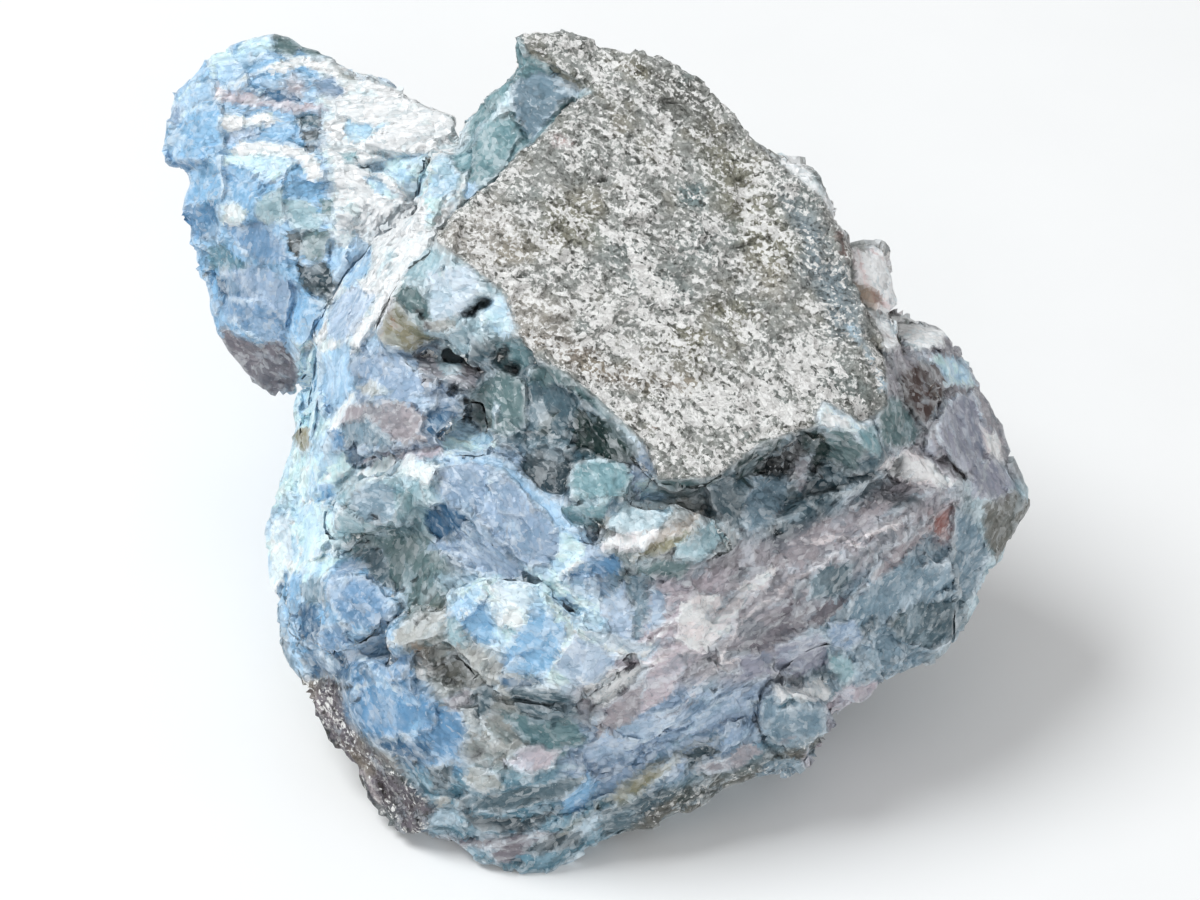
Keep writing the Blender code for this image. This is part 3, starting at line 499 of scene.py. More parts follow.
    "knob arch": face("sea green", (394, 520), (398, 492), (410, 490), (418, 522), (404, 526), lift=-0.3),
    "knob left face": face("sage", (330, 540), (340, 506), (362, 518), (364, 534), (350, 546), (334, 556),
        lift=0.3),
    "dark face one": face("green grey", (362, 534), (420, 532), (430, 560), (400, 590), (376, 570),
        lift=-0.3),
    "dark face two": face("slate", (356, 548), (384, 548), (396, 590), (372, 580)),
    "ledge blue": face("lilac", (430, 540), (462, 536), (500, 548), (470, 550), (440, 552)),
    "left boss": face("dusk blue", (326, 596), (346, 572), (380, 584), (396, 610), (388, 626), (340, 622),
        lift=0.5),
    "left boss crown": face("lilac", (326, 576), (348, 556), (366, 566), (346, 578), (328, 594)),
    "left low facet": face("dusk blue", (318, 628), (344, 624), (352, 644), (330, 652), (314, 646),
        lift=0.1),
    "left low shade": face("sky", (344, 626), (380, 634), (392, 650), (364, 654), (350, 644), lift=-0.2),
    "left deep teal": face("deep blue", (298, 606), (314, 602), (322, 632), (312, 646), (300, 640),
        lift=-0.4),
    "left grey facet": face("steel", (298, 584), (312, 574), (326, 586), (326, 604), (304, 602)),
    "left base": face("deep blue", (298, 650), (326, 652), (328, 674), (308, 676)),
    "left base dart": face("deep blue", (328, 674), (332, 654), (352, 666), (352, 680), (334, 682)),
    "left base pink": face("pale lilac", (342, 652), (362, 650), (368, 660), (350, 664)),

    # Pink boss and dirty middle
    "pink boss": face("stone", (384, 642), (402, 622), (428, 606), (446, 612), (446, 634), (424, 640),
        (404, 646), lift=0.6),
    "boss green edge": face("tan", (412, 642), (424, 644), (430, 660), (418, 656), lift=-0.2),
    "boss pale foot": face("snow", (412, 668), (424, 658), (436, 668), (424, 678)),
    "boss right": face("sage", (446, 616), (464, 626), (466, 646), (446, 646)),
    "dirty face": face("dark stone", (440, 660), (462, 656), (478, 676), (470, 690), (444, 684), lift=-0.2),
    "dirty light face": face("mauve", (440, 696), (470, 690), (474, 704), (450, 708)),
    "slate step": face("slate", (474, 690), (494, 684), (494, 716), (474, 716)),
    "small slab": face("cloud", (480, 712), (498, 708), (500, 716), (482, 720), lift=0.4),
    "white nub": face("pale pink", (504, 764), (516, 750), (540, 744), (562, 754), (552, 768), (526, 776),
        lift=0.5),
    "cream nub": face("stone", (462, 776), (474, 768), (496, 774), (502, 790), (486, 792), (466, 786),
        lift=0.4),
    "pebble": face("stone", (434, 796), (448, 792), (452, 798), (440, 804), lift=0.5),

    # Blue cheek
    "cheek top": face("dusk blue", (364, 664), (388, 654), (414, 658), (404, 676), (380, 680)),
    "cheek middle": face("sea blue", (352, 686), (384, 682), (424, 690), (440, 700), (432, 730), (376, 740),
        (352, 712), lift=0.2),
    "cheek low": face("deep blue", (372, 742), (404, 736), (434, 740), (426, 756), (398, 760)),
    "cheek right": face("sea blue", (436, 704), (462, 712), (468, 740), (452, 760), (432, 752)),
    "cheek foot": face("dark slate", (426, 764), (452, 762), (450, 788), (430, 790)),
    "cheek chips": face("clear blue", (404, 724), (420, 722), (412, 736)),

    # Bottom ribs: teal, slate and plum tints, darkened further as painted shade at the bottom of the stone
    "rib upper": face("slate", (454, 794), (500, 794), (560, 776), (590, 776), (560, 800), (500, 812),
        (456, 808)),
    "rib dark": face("dark slate", (456, 812), (520, 818), (560, 806), (540, 826), (480, 832), lift=-0.3),
    "rib pale": face("plum", (430, 834), (470, 838), (540, 828), (556, 836), (500, 848), (452, 846),
        lift=0.3),
    "rib brown": face("plum", (486, 852), (520, 840), (560, 832), (540, 846), (500, 866), lift=0.2),
    "rib teal lens": face("dark slate", (524, 850), (544, 836), (586, 828), (580, 844), (540, 856)),
    "rib right pale": face("slate", (600, 812), (640, 800), (680, 790), (690, 780), (640, 818), (604, 840)),
    "rib teal hollow": face("dark slate", (684, 752), (708, 740), (722, 748), (704, 762), (686, 772),
        lift=-0.3),
    "rib dark rim": face("bottle green", (676, 800), (700, 786), (724, 786), (700, 800), (680, 812)),
    "rib mauve": face("mauve", (700, 766), (752, 744), (764, 752), (740, 770), (706, 776)),
    "rib stain": face("olive", (604, 800), (640, 772), (680, 752), (664, 776), (620, 806), soft=6),
}

# The part of the display side that is slab
HOST = {
    "slab": ((520, 30), (580, 32), (650, 42), (705, 70), (760, 150), (820, 200), (850, 250), (860, 300),
        (880, 330), (885, 405), (862, 420), (822, 396), (810, 425), (760, 440), (735, 460), (716, 474),
        (660, 478), (645, 440), (600, 396), (560, 366), (530, 352), (520, 330), (505, 290), (470, 262),
        (440, 240), (430, 226), (452, 205), (500, 175), (520, 152), (548, 132), (560, 110), (600, 92),
        (560, 66), (530, 52)),
}

# The size of a bundle of fibres, and the way that the fibres and splinters run in the picture, in degrees
# turned from the right towards up
BUNDLE = 6.5 * MM
FIBRES = {
    "lobe": (6, ((150, 20), (340, 20), (345, 330), (200, 400), (140, 150))),
    "lobe low plates": (62, ((200, 225), (300, 230), (330, 320), (290, 400), (210, 330))),
    "fan": (16, ((330, 60), (470, 100), (480, 150), (350, 160))),
    "fan foot": (-14, ((335, 160), (425, 160), (425, 215), (340, 210))),
    "blades": (72, ((425, 150), (480, 150), (460, 220), (420, 235))),
    "wall": (80, ((480, 90), (520, 40), (600, 80), (520, 150), (470, 200))),
    "ridge": (57, ((440, 215), (400, 215), (300, 340), (350, 360))),
    "flank": (84, ((285, 340), (350, 350), (345, 440), (330, 560), (270, 640), (260, 500))),
    "field": (-20, ((345, 350), (470, 350), (470, 450), (340, 460))),
    "bay": (-40, ((470, 360), (560, 360), (650, 440), (650, 500), (560, 500), (470, 430))),
    "pale slope": (-38, ((430, 450), (500, 450), (640, 640), (560, 600), (430, 540))),
    "bright block": (-34, ((440, 590), (530, 560), (680, 650), (590, 710), (490, 680))),
    "pink slope": (36, ((600, 690), (640, 580), (760, 510), (960, 450), (960, 540), (800, 640),
        (640, 780))),
    "flank light": (22, ((480, 740), (640, 690), (770, 690), (700, 800), (500, 880), (420, 820))),
    "left rind": (-56, ((280, 660), (340, 660), (450, 840), (400, 860))),
    "right end": (-62, ((880, 310), (960, 330), (1050, 500), (980, 500), (900, 430))),
    "tip": (35, ((960, 500), (1050, 500), (980, 680), (930, 660))),
    "slab": (-30, ((520, 30), (640, 40), (850, 250), (880, 400), (700, 480), (440, 240))),
}

# How thick the white crust is on a patch of the host rock that has this tint
CRUST = {"snow": 1.0, "cloud": 0.75}

# Places where the skin is drawn in or out along the picture: middle, reach and shift in picture units
SHIFTS = {
    "under the tip": ((1030, 592), (46, 60), (-15, -4)),
    "lobe lower edge": ((202, 300), (40, 62), (14, 0)),
    "lobe left edge": ((164, 130), (24, 70), (7, 0)),
    "left shoulder": ((284, 420), (26, 50), (8, 0)),
    "left foot": ((326, 730), (44, 56), (7, -3)),
    "sliver": ((806, 190), (36, 32), (13, -12)),
}

# Patches on the host rock
GROUND = {
    "slab crown": wash("stone", (520, 30), (640, 40), (720, 90), (700, 200), (600, 200), (560, 120),
        soft=30),
    "slab foot": wash("cloud", (540, 320), (700, 330), (830, 340), (830, 410), (720, 480), (640, 470),
        (560, 370), soft=30),
    "slab left": wash("beige", (430, 230), (500, 185), (530, 260), (480, 275), soft=14),
    "slab left low": wash("beige", (490, 280), (570, 300), (570, 360), (515, 345), soft=14),
    "slab right strip": wash("steel", (776, 190), (815, 215), (846, 270), (862, 330), (832, 335),
        (806, 270)),
    "left crust": wash("cloud", (430, 232), (470, 200), (520, 205), (560, 250), (560, 300), (530, 340),
        (490, 270), soft=20),
    "white crest": wash("snow", (528, 38), (600, 36), (606, 50), (560, 48), soft=6),
    "white patch one": wash("snow", (628, 148), (652, 150), (676, 168), (640, 178), soft=7),
    "white patch two": wash("snow", (656, 116), (674, 120), (672, 142), (656, 142), soft=7),
    "white patch three": wash("snow", (740, 190), (768, 204), (772, 226), (742, 230), soft=8),
    "white patch four": wash("snow", (622, 194), (640, 200), (650, 224), (632, 226), soft=6),
    "white patch five": wash("cloud", (520, 250), (578, 244), (590, 264), (540, 274), soft=8),
    "white patch six": wash("snow", (590, 300), (640, 306), (700, 320), (640, 330), soft=9),
    "white foot": wash("snow", (740, 356), (820, 352), (824, 396), (770, 392), soft=10),
    "white lip": wash("snow", (610, 396), (700, 408), (800, 398), (806, 416), (700, 440), (650, 424),
        soft=8),
    "white patch seven": wash("snow", (628, 256), (646, 262), (674, 298), (660, 306), (640, 284), soft=6),
    "white patch eight": wash("snow", (554, 288), (590, 290), (596, 324), (566, 328), soft=8),
    "white patch nine": wash("snow", (697, 214), (727, 220), (729, 244), (703, 240), soft=6),
    "grey crest patch": wash("stone", (560, 44), (596, 48), (600, 74), (566, 66), soft=5),
    "white corner": wash("snow", (700, 376), (750, 376), (756, 412), (704, 416), soft=8),
    "brown ledge": wash("olive", (664, 324), (708, 328), (704, 362), (670, 352), soft=5),
    "warm foot": wash("tan", (520, 334), (580, 340), (640, 380), (700, 370), (690, 392), (600, 384),
        soft=8),
    "olive hollow": wash("olive", (544, 198), (600, 204), (602, 246), (546, 244), soft=12),
    "white patch ten": wash("snow", (624, 188), (652, 200), (650, 240), (626, 232), soft=10),
    "brown patch": wash("beige", (760, 262), (790, 266), (780, 296), (756, 292), soft=9),
    "teal spot": wash("sea green", (678, 184), (702, 184), (706, 204), (682, 202), soft=7),
    "teal spot two": wash("stone", (644, 226), (682, 226), (676, 250), (648, 250), soft=9),
    "grey wedge": wash("olive", (702, 304), (740, 296), (752, 312), (730, 330), soft=5),
    "brown corner": wash("dark stone", (822, 374), (878, 374), (876, 408), (846, 400), (826, 390), soft=8),
    "dark crown": wash("dark stone", (640, 60), (690, 78), (730, 130), (700, 140), (660, 110), soft=14),
    "dark flank": wash("olive", (700, 130), (750, 160), (800, 250), (770, 290), (740, 240), (710, 190),
        soft=16),
    "pink stain": wash("pink white", (550, 132), (576, 142), (570, 152), (550, 146), soft=4),
    "rust stain": wash("olive", (626, 62), (648, 66), (646, 82), (630, 80), soft=6),
}

# Cracks and dark edges, and lines of painted shade under overhangs, rims and ledges
CRACKS = {
    "wall crack": line("ink", 3, 0.5, (504, 112), (516, 116), (520, 130), (532, 146), (546, 134)),
    "wall line": line("teal blue", 2, 0.2, (541, 64), (542, 104)),
    "overhang shade": line("olive", 9, 0.5, (530, 50), (552, 62), (578, 84), (602, 92)),
    "slab rim shade": line("dark stone", 3, 0.3, (602, 94), (572, 104), (552, 124), (538, 144), (520, 154),
        (502, 180), (482, 200)),
    "blade slit": line("dark slate", 3, 0.6, (352, 160), (376, 166), (404, 173)),
    "blade slit two": line("deep blue", 2, 0.3, (362, 180), (390, 186), (404, 196)),
    "blade root": line("plum", 3, 0.4, (424, 176), (418, 196), (406, 200)),
    "lobe seam": line("steel", 3, 0.4, (222, 104), (223, 130), (222, 150), (204, 162)),
    "lobe fold": line("steel", 2, 0.3, (226, 112), (262, 112), (292, 112)),
    "lobe upright": line("plum", 3, 0.4, (321, 112), (322, 140), (320, 170)),
    "lobe lower fold": line("plum", 3, 0.4, (268, 170), (258, 186), (254, 206)),
    "boss seam": line("slate", 3, 0.4, (284, 188), (287, 222), (300, 234), (328, 226)),
    "lobe foot seam": line("bottle green", 5, 0.6, (300, 280), (322, 290), (334, 306)),
    "belly seam": line("slate", 3, 0.5, (333, 286), (352, 287), (368, 276), (376, 258)),
    "flank seam": line("sea blue", 3, 0.3, (318, 344), (320, 400), (312, 440)),
    "ridge stain": line("rust", 5, 0.1, (394, 296), (387, 312), (398, 326)),
    "ridge stain two": line("rust", 4, 0.1, (380, 322), (380, 336)),
    "wedge foot": line("black green", 5, 0.8, (386, 346), (404, 354), (414, 356)),
    "wedge slit": line("bottle green", 7, 0.9, (418, 342), (432, 342), (446, 336)),
    "lump cracks": line("maroon", 5, 0.6, (418, 308), (424, 318), (428, 328)),
    "bay mouth": line("bottle green", 6, 0.6, (440, 378), (464, 390), (472, 386)),
    "pink creases": line("plum", 2, 0.2, (362, 444), (388, 450), (412, 446), (434, 438)),
    "band crease": line("slate", 2, 0.3, (350, 446), (374, 440), (396, 446)),
    "slope rim": line("deep blue", 4, 0.5, (478, 440), (498, 452), (516, 470), (534, 486), (562, 500)),
    "bay streak": line("cloud", 3, 0.1, (560, 408), (544, 434)),
    "bay slit": line("dark slate", 5, 0.5, (584, 448), (612, 460), (636, 462)),
    "block slit": line("plum", 3, 0.4, (632, 470), (634, 490), (642, 500)),
    "tongue slit": line("black green", 8, 0.7, (678, 492), (706, 492)),
    "fibre slit": line("ink", 5, 0.5, (696, 506), (706, 508)),
    "fibre crease": line("tan", 3, 0.3, (640, 556), (672, 534), (704, 512)),
    "fibre crease two": line("maroon", 3, 0.3, (648, 566), (684, 546), (700, 534)),
    "lip shade": line("olive", 5, 0.5, (736, 446), (762, 432), (800, 424), (820, 420)),
    "hollow crease": line("black green", 5, 0.5, (796, 494), (830, 490), (852, 482)),
    "hollow crease two": line("ink", 5, 0.6, (846, 478), (876, 470)),
    "hollow foot": line("plum", 4, 0.4, (740, 528), (764, 530), (778, 514), (790, 500)),
    "pink crack one": line("plum", 2, 0.3, (690, 652), (712, 646), (744, 600), (780, 572)),
    "pink crack two": line("plum", 2, 0.3, (820, 600), (862, 596), (904, 560), (936, 530)),
    "pink crack three": line("maroon", 2, 0.3, (784, 586), (804, 578)),
    "grey crack": line("plum", 2, 0.3, (650, 720), (676, 714), (700, 700), (714, 688)),
    "flank crack": line("teal blue", 3, 0.3, (654, 758), (668, 744), (700, 732), (728, 730)),
    "flank nick": line("deep blue", 5, 0.3, (632, 764), (640, 752)),
    "nodule crack": line("ink", 6, 1.6, (770, 680), (758, 702), (756, 724), (764, 744), (780, 756),
        (802, 758)),
    "nodule crack two": line("ink", 3, 0.6, (768, 752), (756, 776)),
    "nodule brow": line("bottle green", 7, 1.2, (774, 678), (800, 680), (818, 672), (836, 676)),
    "block crack": line("black green", 4, 0.6, (872, 616), (866, 636), (858, 648), (864, 656)),
    "block hole": line("bottle green", 6, 0.7, (888, 630), (898, 616)),
    "right crack": line("ink", 4, 0.9, (866, 316), (874, 340), (890, 356), (900, 376), (902, 394),
        (914, 414), (926, 434), (922, 452), (932, 460), (948, 458), (962, 480)),
    "right crack wide": line("ink", 7, 0.9, (900, 380), (903, 396), (914, 414), (925, 434), (923, 450),
        (934, 460), (950, 460), (962, 480)),
    "right brown crack": line("maroon", 6, 0.5, (936, 458), (952, 464), (964, 478)),
    "right fork": line("dark slate", 8, 0.7, (930, 430), (938, 412), (944, 404)),
    "right seam": line("slate", 3, 0.4, (966, 494), (974, 512), (986, 530), (986, 550)),
    "plate seam": line("plum", 2, 0.3, (976, 498), (1002, 500), (1014, 494)),
    "cap seam": line("plum", 4, 0.4, (934, 352), (956, 358), (972, 370)),
    "knob seam": line("maroon", 4, 0.4, (852, 300), (866, 312), (888, 320)),
    "sliver rim": line("maroon", 4, 0.4, (780, 186), (808, 198), (820, 212), (840, 236), (850, 262)),
    "knob crack": line("slate", 3, 0.5, (376, 528), (408, 528), (430, 532), (446, 540), (462, 534)),
    "dark nick": line("ink", 4, 0.5, (372, 514), (378, 520)),
    "dark foot": line("dark slate", 4, 0.4, (396, 600), (404, 612)),
    "dark edge": line("slate", 3, 0.3, (452, 564), (456, 580), (448, 592)),
    "slope crease": line("steel", 4, 0.3, (526, 576), (548, 592), (576, 618), (602, 632)),
    "slope crease two": line("steel", 3, 0.3, (602, 632), (622, 644), (640, 652)),
    "ledge shade": line("slate", 5, 0.6, (510, 692), (536, 684), (562, 692), (580, 704)),
    "step slot": line("bottle green", 5, 0.6, (496, 686), (498, 702)),
    "left crack": line("deep blue", 3, 0.4, (296, 648), (314, 648), (326, 620), (326, 592), (320, 576)),
    "left crack two": line("deep blue", 3, 0.3, (344, 624), (362, 640), (392, 650)),
    "left brow": line("deep blue", 4, 0.4, (350, 572), (376, 580)),
    "bottom slit one": line("ink", 4, 0.6, (434, 804), (456, 808), (476, 810)),
    "bottom slit two": line("ink", 4, 0.6, (430, 826), (446, 830)),
    "bottom slit three": line("ink", 5, 0.6, (440, 846), (452, 842)),
    "bottom pit": line("ink", 7, 0.7, (506, 868), (520, 862)),
    "rib edge": line("olive", 5, 0.4, (560, 836), (600, 806), (648, 766), (700, 740), (726, 734)),
    "rib foot": line("slate", 4, 0.4, (560, 860), (600, 824), (614, 820)),
    "rib rim shade": line("maroon", 6, 0.3, (680, 804), (706, 790), (724, 786)),
    "rind cracks": line("ink", 5, 0.6, (384, 784), (390, 800)),
    "wedge mark": line("olive", 3, 0.4, (700, 302), (738, 314), (752, 296)),
    "slab hollow": line("dark stone", 8, 0.6, (590, 296), (604, 306)),
}

# Veins, pale edges and stains, and painted highlights on the pale slope's crest
VEINS = {
    "lobe white rim": line("snow", 4, -0.3, (226, 88), (246, 76), (270, 66), (300, 58), (330, 62)),
    "lobe edge": line("frost", 3, -0.2, (176, 128), (190, 112), (206, 103), (220, 100)),
    "lobe chain": line("frost", 5, -0.2, (218, 172), (224, 190), (219, 208), (222, 226)),
    "blade edge": line("snow", 3, -0.2, (428, 162), (424, 196), (422, 230)),
    "blade crest": line("snow", 3, -0.2, (456, 166), (466, 176), (448, 200), (436, 228)),
    "ridge rim": line("snow", 6, -0.3, (444, 224), (410, 254), (388, 296), (366, 336), (350, 352)),
    "ridge low rim": line("snow", 4, -0.2, (354, 394), (340, 412), (330, 432)),
    "flank net one": line("snow", 3, -0.1, (304, 468), (320, 480), (338, 470), (348, 478)),
    "flank net two": line("snow", 3, -0.1, (300, 500), (320, 504), (338, 494), (346, 480), (372, 464)),
    "flank net three": line("snow", 3, -0.1, (298, 566), (318, 552), (340, 548), (352, 540)),
    "flank net four": line("snow", 3, -0.1, (292, 520), (300, 546), (288, 580)),
    "knob edge": line("snow", 3, -0.2, (332, 548), (340, 506), (350, 500)),
    # Painted highlights: the crest of the pale slope where it catches the light from above, and a glint on it
    "slope rim pale": line("frost", 4, -0.3, (432, 462), (452, 451), (484, 450), (512, 466), (536, 490),
        (566, 502)),
    "slope sparkle": line("snow", 6, -0.2, (442, 478), (448, 486)),
    "white sweep": line("snow", 5, -0.3, (556, 584), (566, 570), (580, 562)),
    "block edge": line("snow", 4, -0.3, (576, 630), (560, 654), (552, 668)),
    "block long edge": line("snow", 5, -0.3, (604, 646), (630, 656), (644, 650), (660, 634), (676, 620)),
    "block foot edge": line("snow", 3, -0.2, (578, 672), (590, 688)),
    "blue triangle edge": line("snow", 3, -0.2, (462, 618), (486, 594), (500, 630)),
    "boss vein": line("frost", 3, -0.2, (354, 658), (388, 654), (416, 652)),
    "cheek vein": line("sky", 3, -0.2, (388, 676), (396, 696), (420, 706)),
    "pale vein": line("ice", 7, -0.2, (850, 324), (866, 346), (884, 386)),
    "cap rim": line("snow", 4, -0.2, (900, 322), (924, 330), (946, 342)),
    "pink vein one": line("pink white", 5, -0.2, (640, 664), (676, 652), (700, 652), (716, 640)),
    "pink vein two": line("pink white", 4, -0.2, (720, 660), (740, 620), (790, 584), (850, 540),
        (904, 520)),
    "pink vein three": line("pink white", 3, -0.2, (690, 700), (720, 662), (744, 656)),
    "pink vein four": line("pink white", 5, -0.2, (804, 540), (840, 536), (864, 548)),
    "pink vein five": line("dusty pink", 4, -0.2, (862, 590), (904, 546), (956, 500)),
    "knob streak": line("brick", 4, 0.2, (856, 250), (862, 276), (880, 300), (894, 312)),
    "knob streak two": line("brick", 3, 0.1, (874, 252), (896, 268), (900, 290)),
    "rind streak": line("bottle green", 6, 0.3, (296, 690), (330, 740), (372, 800), (420, 840)),
    "rind streak two": line("pink white", 4, 0.0, (312, 690), (322, 710), (336, 720)),
    "rind streak three": line("pink white", 4, 0.0, (344, 760), (366, 780), (384, 812)),
    "rind streak four": line("maroon", 5, 0.3, (336, 734), (360, 760), (396, 800), (428, 812)),
    "rib vein": line("pale lilac", 3, -0.2, (560, 752), (600, 742), (650, 726), (690, 712)),
    "rib vein two": line("sage", 3, -0.2, (500, 782), (550, 768), (590, 764)),
    "hollow vein": line("cloud", 2, -0.2, (754, 474), (766, 456), (784, 440)),
    "hollow vein two": line("cloud", 2, -0.1, (790, 496), (794, 470), (790, 456)),
    "bay vein": line("cloud", 3, -0.1, (492, 396), (498, 424)),
    "right vein": line("cloud", 3, -0.2, (956, 502), (954, 540), (958, 590)),
    "plate vein": line("cloud", 2, -0.1, (976, 452), (988, 460), (978, 496)),
    "red spots": line("brick", 7, 0.0, (556, 138), (572, 146)),
    "orange fleck": line("rust", 5, 0.0, (782, 742), (792, 736)),
    "orange fleck two": line("rust", 6, 0.0, (886, 332), (892, 338)),
    "brown streak": line("brick", 9, 0.1, (838, 232), (846, 252)),
    "lip stain": line("rust", 2, 0.1, (652, 424), (660, 440)),
}

# Dark specks: place and size
SPECKS = (
    (523, 120, 4), (410, 165, 3), (291, 268, 5), (338, 243, 3), (208, 271, 6), (310, 132, 3),
    (187, 231, 3), (408, 200, 4), (398, 278, 4), (421, 314, 5), (352, 358, 3), (380, 331, 4),
    (417, 354, 5), (500, 356, 5), (505, 366, 6), (514, 369, 5), (347, 505, 4), (373, 516, 4),
    (365, 543, 4), (376, 549, 3), (414, 578, 5), (404, 588, 5), (402, 618, 4), (418, 621, 3),
    (430, 617, 6), (449, 660, 3), (457, 654, 3), (451, 684, 3), (418, 762, 5), (355, 702, 4),
    (349, 686, 5), (344, 688, 3), (304, 642, 3), (284, 600, 4), (480, 750, 5), (477, 755, 5),
    (480, 694, 3), (487, 778, 4), (513, 758, 3), (522, 829, 4), (590, 526, 5), (596, 532, 5),
    (604, 530, 4), (592, 543, 5), (629, 571, 5), (517, 471, 4), (777, 526, 7), (777, 532, 6),
    (823, 463, 5), (831, 490, 4), (704, 507, 6), (717, 464, 4), (853, 657, 4), (842, 641, 4),
    (714, 690, 3), (604, 223, 5), (573, 177, 4), (795, 266, 5), (603, 200, 4), (634, 212, 4),
    (866, 505, 3), (834, 580, 3), (658, 371, 4), (580, 381, 4), (526, 316, 4), (486, 742, 3),
    (505, 766, 3), (461, 652, 3), (438, 803, 3), (808, 279, 4),
)

# Pits: place, size and depth in mm
PITS = (
    (484, 301, 9, 2.4), (474, 309, 7, 1.8), (467, 314, 4, 1.0), (452, 388, 7, 1.6),
    (463, 400, 5, 1.0), (500, 356, 8, 1.2), (512, 366, 9, 1.3), (505, 348, 5, 0.8),
)


# Noise and cells
def scatter(cells, salt):
    """A fixed number from 0 to 1 for each whole-numbered place."""
    mixed = (cells[..., 0] * 73856093) ^ (cells[..., 1] * 19349663)
    mixed = mixed ^ (cells[..., 2] * 83492791) ^ (salt * 374761393)
    mixed = (mixed ^ (mixed >> 13)) * 1274126177
    mixed = (mixed ^ (mixed >> 16)) * 668265263
    return ((mixed ^ (mixed >> 15)) & 0xFFFFFF) / float(0xFFFFFF)


def ripple(points, size, salt):
    """Smooth noise from -1 to 1, with lumps of about the given size."""
    place = points / size
    corner = np.floor(place).astype(np.int64)
    part = place - corner
    part = part * part * part * (part * (part * 6 - 15) + 10)
    total = np.zeros(len(points))
    sides = (1 - part, part)
    for x, y, z in itertools.product((0, 1), repeat=3):
        share = sides[x][:, 0] * sides[y][:, 1] * sides[z][:, 2]
        total += share * scatter(corner + np.array((x, y, z)), salt)
    return total * 2 - 1


def drift(points, size, *salts):
    """Smooth noise in two or three directions at once, one for each salt."""
    return np.stack([ripple(points, size, salt) for salt in salts], axis=1)


def broken(points, size, salt):
    """The nearest of scattered seeds: its offset from the point, in cells, and its own number from 0 to 1."""
    place = points / size
    cell = np.floor(place).astype(np.int64)
    nearest = np.full(len(points), 9.0)
    offset = np.zeros_like(place)
    key = np.zeros(len(points))
    for step in itertools.product((-1, 0, 1), repeat=3):
        there = cell + np.array(step)
        drawn = scatter(there, salt)
        away = place - there
        away[:, 0] -= drawn
        away[:, 1] -= drawn * 251 % 1
        away[:, 2] -= drawn * 65521 % 1
        far = np.einsum("ij,ij->i", away, away)
        first = far < nearest
        nearest[first] = far[first]
        offset[first] = away[first]
        key[first] = drawn[first]
    return offset, key * 37 % 1


def ease(value, low, high):
    part = np.clip((value - low) / (high - low), 0, 1)
    return part * part * (3 - 2 * part)


# The display view
def in_picture(points):
    """Where points show in the display view, in picture units, and how far they stand towards the viewer."""
    away = points - MIDDLE
    near = away @ TOWARD
    scale = DISTANCE / (DISTANCE - near) / UNIT
    across = PICTURE_MIDDLE[0] + away @ RIGHT * scale
    down = PICTURE_MIDDLE[1] - away @ UP * scale
    return np.stack([across, down], axis=1), near


def depth_inside(place, outline):
    """How far inside an outline each place is, negative outside."""
    across, down = place.T
    inside = np.zeros(len(place), bool)
    nearest = np.full(len(place), np.inf)
    for start, end in zip(outline, outline[1:] + outline[:1]):
        nearest = np.minimum(nearest, line_distance(place, start, end))
        if start[1] != end[1]:
            level = (start[1] > down) != (end[1] > down)
            edge = (end[0] - start[0]) * (down - start[1]) / (end[1] - start[1]) + start[0]
            inside ^= level & (across < edge)
    return np.where(inside, nearest, -nearest)


def line_distance(place, start, end):
    start = np.array(start, float)
    run = np.array(end, float) - start
    share = np.clip((place - start) @ run / (run @ run), 0, 1)
    return np.sqrt((((place - start) - share[:, None] * run) ** 2).sum(axis=1))


def near_outline(place, outline, margin):
    corners = np.array(outline, float)
    low = corners.min(axis=0) - margin
    high = corners.max(axis=0) + margin
    beside = np.nonzero((place[:, 0] > low[0]) & (place[:, 0] < high[0]))[0]
    level = place[beside, 1]
    return beside[(level > low[1]) & (level < high[1])]


def seen_from_front(mesh, points, normals):
    """1 for each point that the display view shows."""
    camera = MIDDLE + TOWARD * DISTANCE
    tree = BVHTree.FromPolygons([Vector(p) for p in points], [tuple(f.vertices) for f in mesh.polygons])
    ways = camera - points
    spans = np.sqrt((ways ** 2).sum(axis=1))
    ways /= spans[:, None]
    facing = (ways * normals).sum(axis=1)
    shown = np.zeros(len(points))
    for index in np.nonzero(facing > 0.02)[0]:
        start = Vector(points[index] + normals[index] * 0.05 * MM + ways[index] * 0.35 * MM)
        if tree.ray_cast(start, Vector(ways[index]), spans[index])[0] is None:
            shown[index] = 1
    return shown


# The mesh as arrays
def read_points(mesh):
    flat = np.empty(len(mesh.vertices) * 3)
    mesh.vertices.foreach_get("co", flat)
    return flat.reshape(-1, 3)


def read_normals(mesh):
    flat = np.empty(len(mesh.vertices) * 3)
    mesh.vertices.foreach_get("normal", flat)
    return flat.reshape(-1, 3)


def write_points(mesh, points):
    mesh.vertices.foreach_set("co", points.ravel())
    mesh.update()


def read_edges(mesh):
    flat = np.empty(len(mesh.edges) * 2, np.int32)
    mesh.edges.foreach_get("vertices", flat)
    return flat.reshape(-1, 2)


def read_corners(mesh):
    """The vertex at each corner of the triangles."""
    flat = np.empty(len(mesh.loops), np.int32)
    mesh.loops.foreach_get("vertex_index", flat)
    return flat


def spread(values, edges, times):
    """Averages values with their neighbours, a number of times over."""
    count = np.bincount(edges.ravel(), minlength=len(values)).astype(float)
    columns = values.reshape(len(values), -1)
    for _ in range(times):
        total = np.stack([np.bincount(edges[:, 0], column[edges[:, 1]], len(values))
                          + np.bincount(edges[:, 1], column[edges[:, 0]], len(values))
                          for column in columns.T], axis=1)
        columns = (columns + total / count[:, None]) / 2
    return columns.reshape(values.shape)


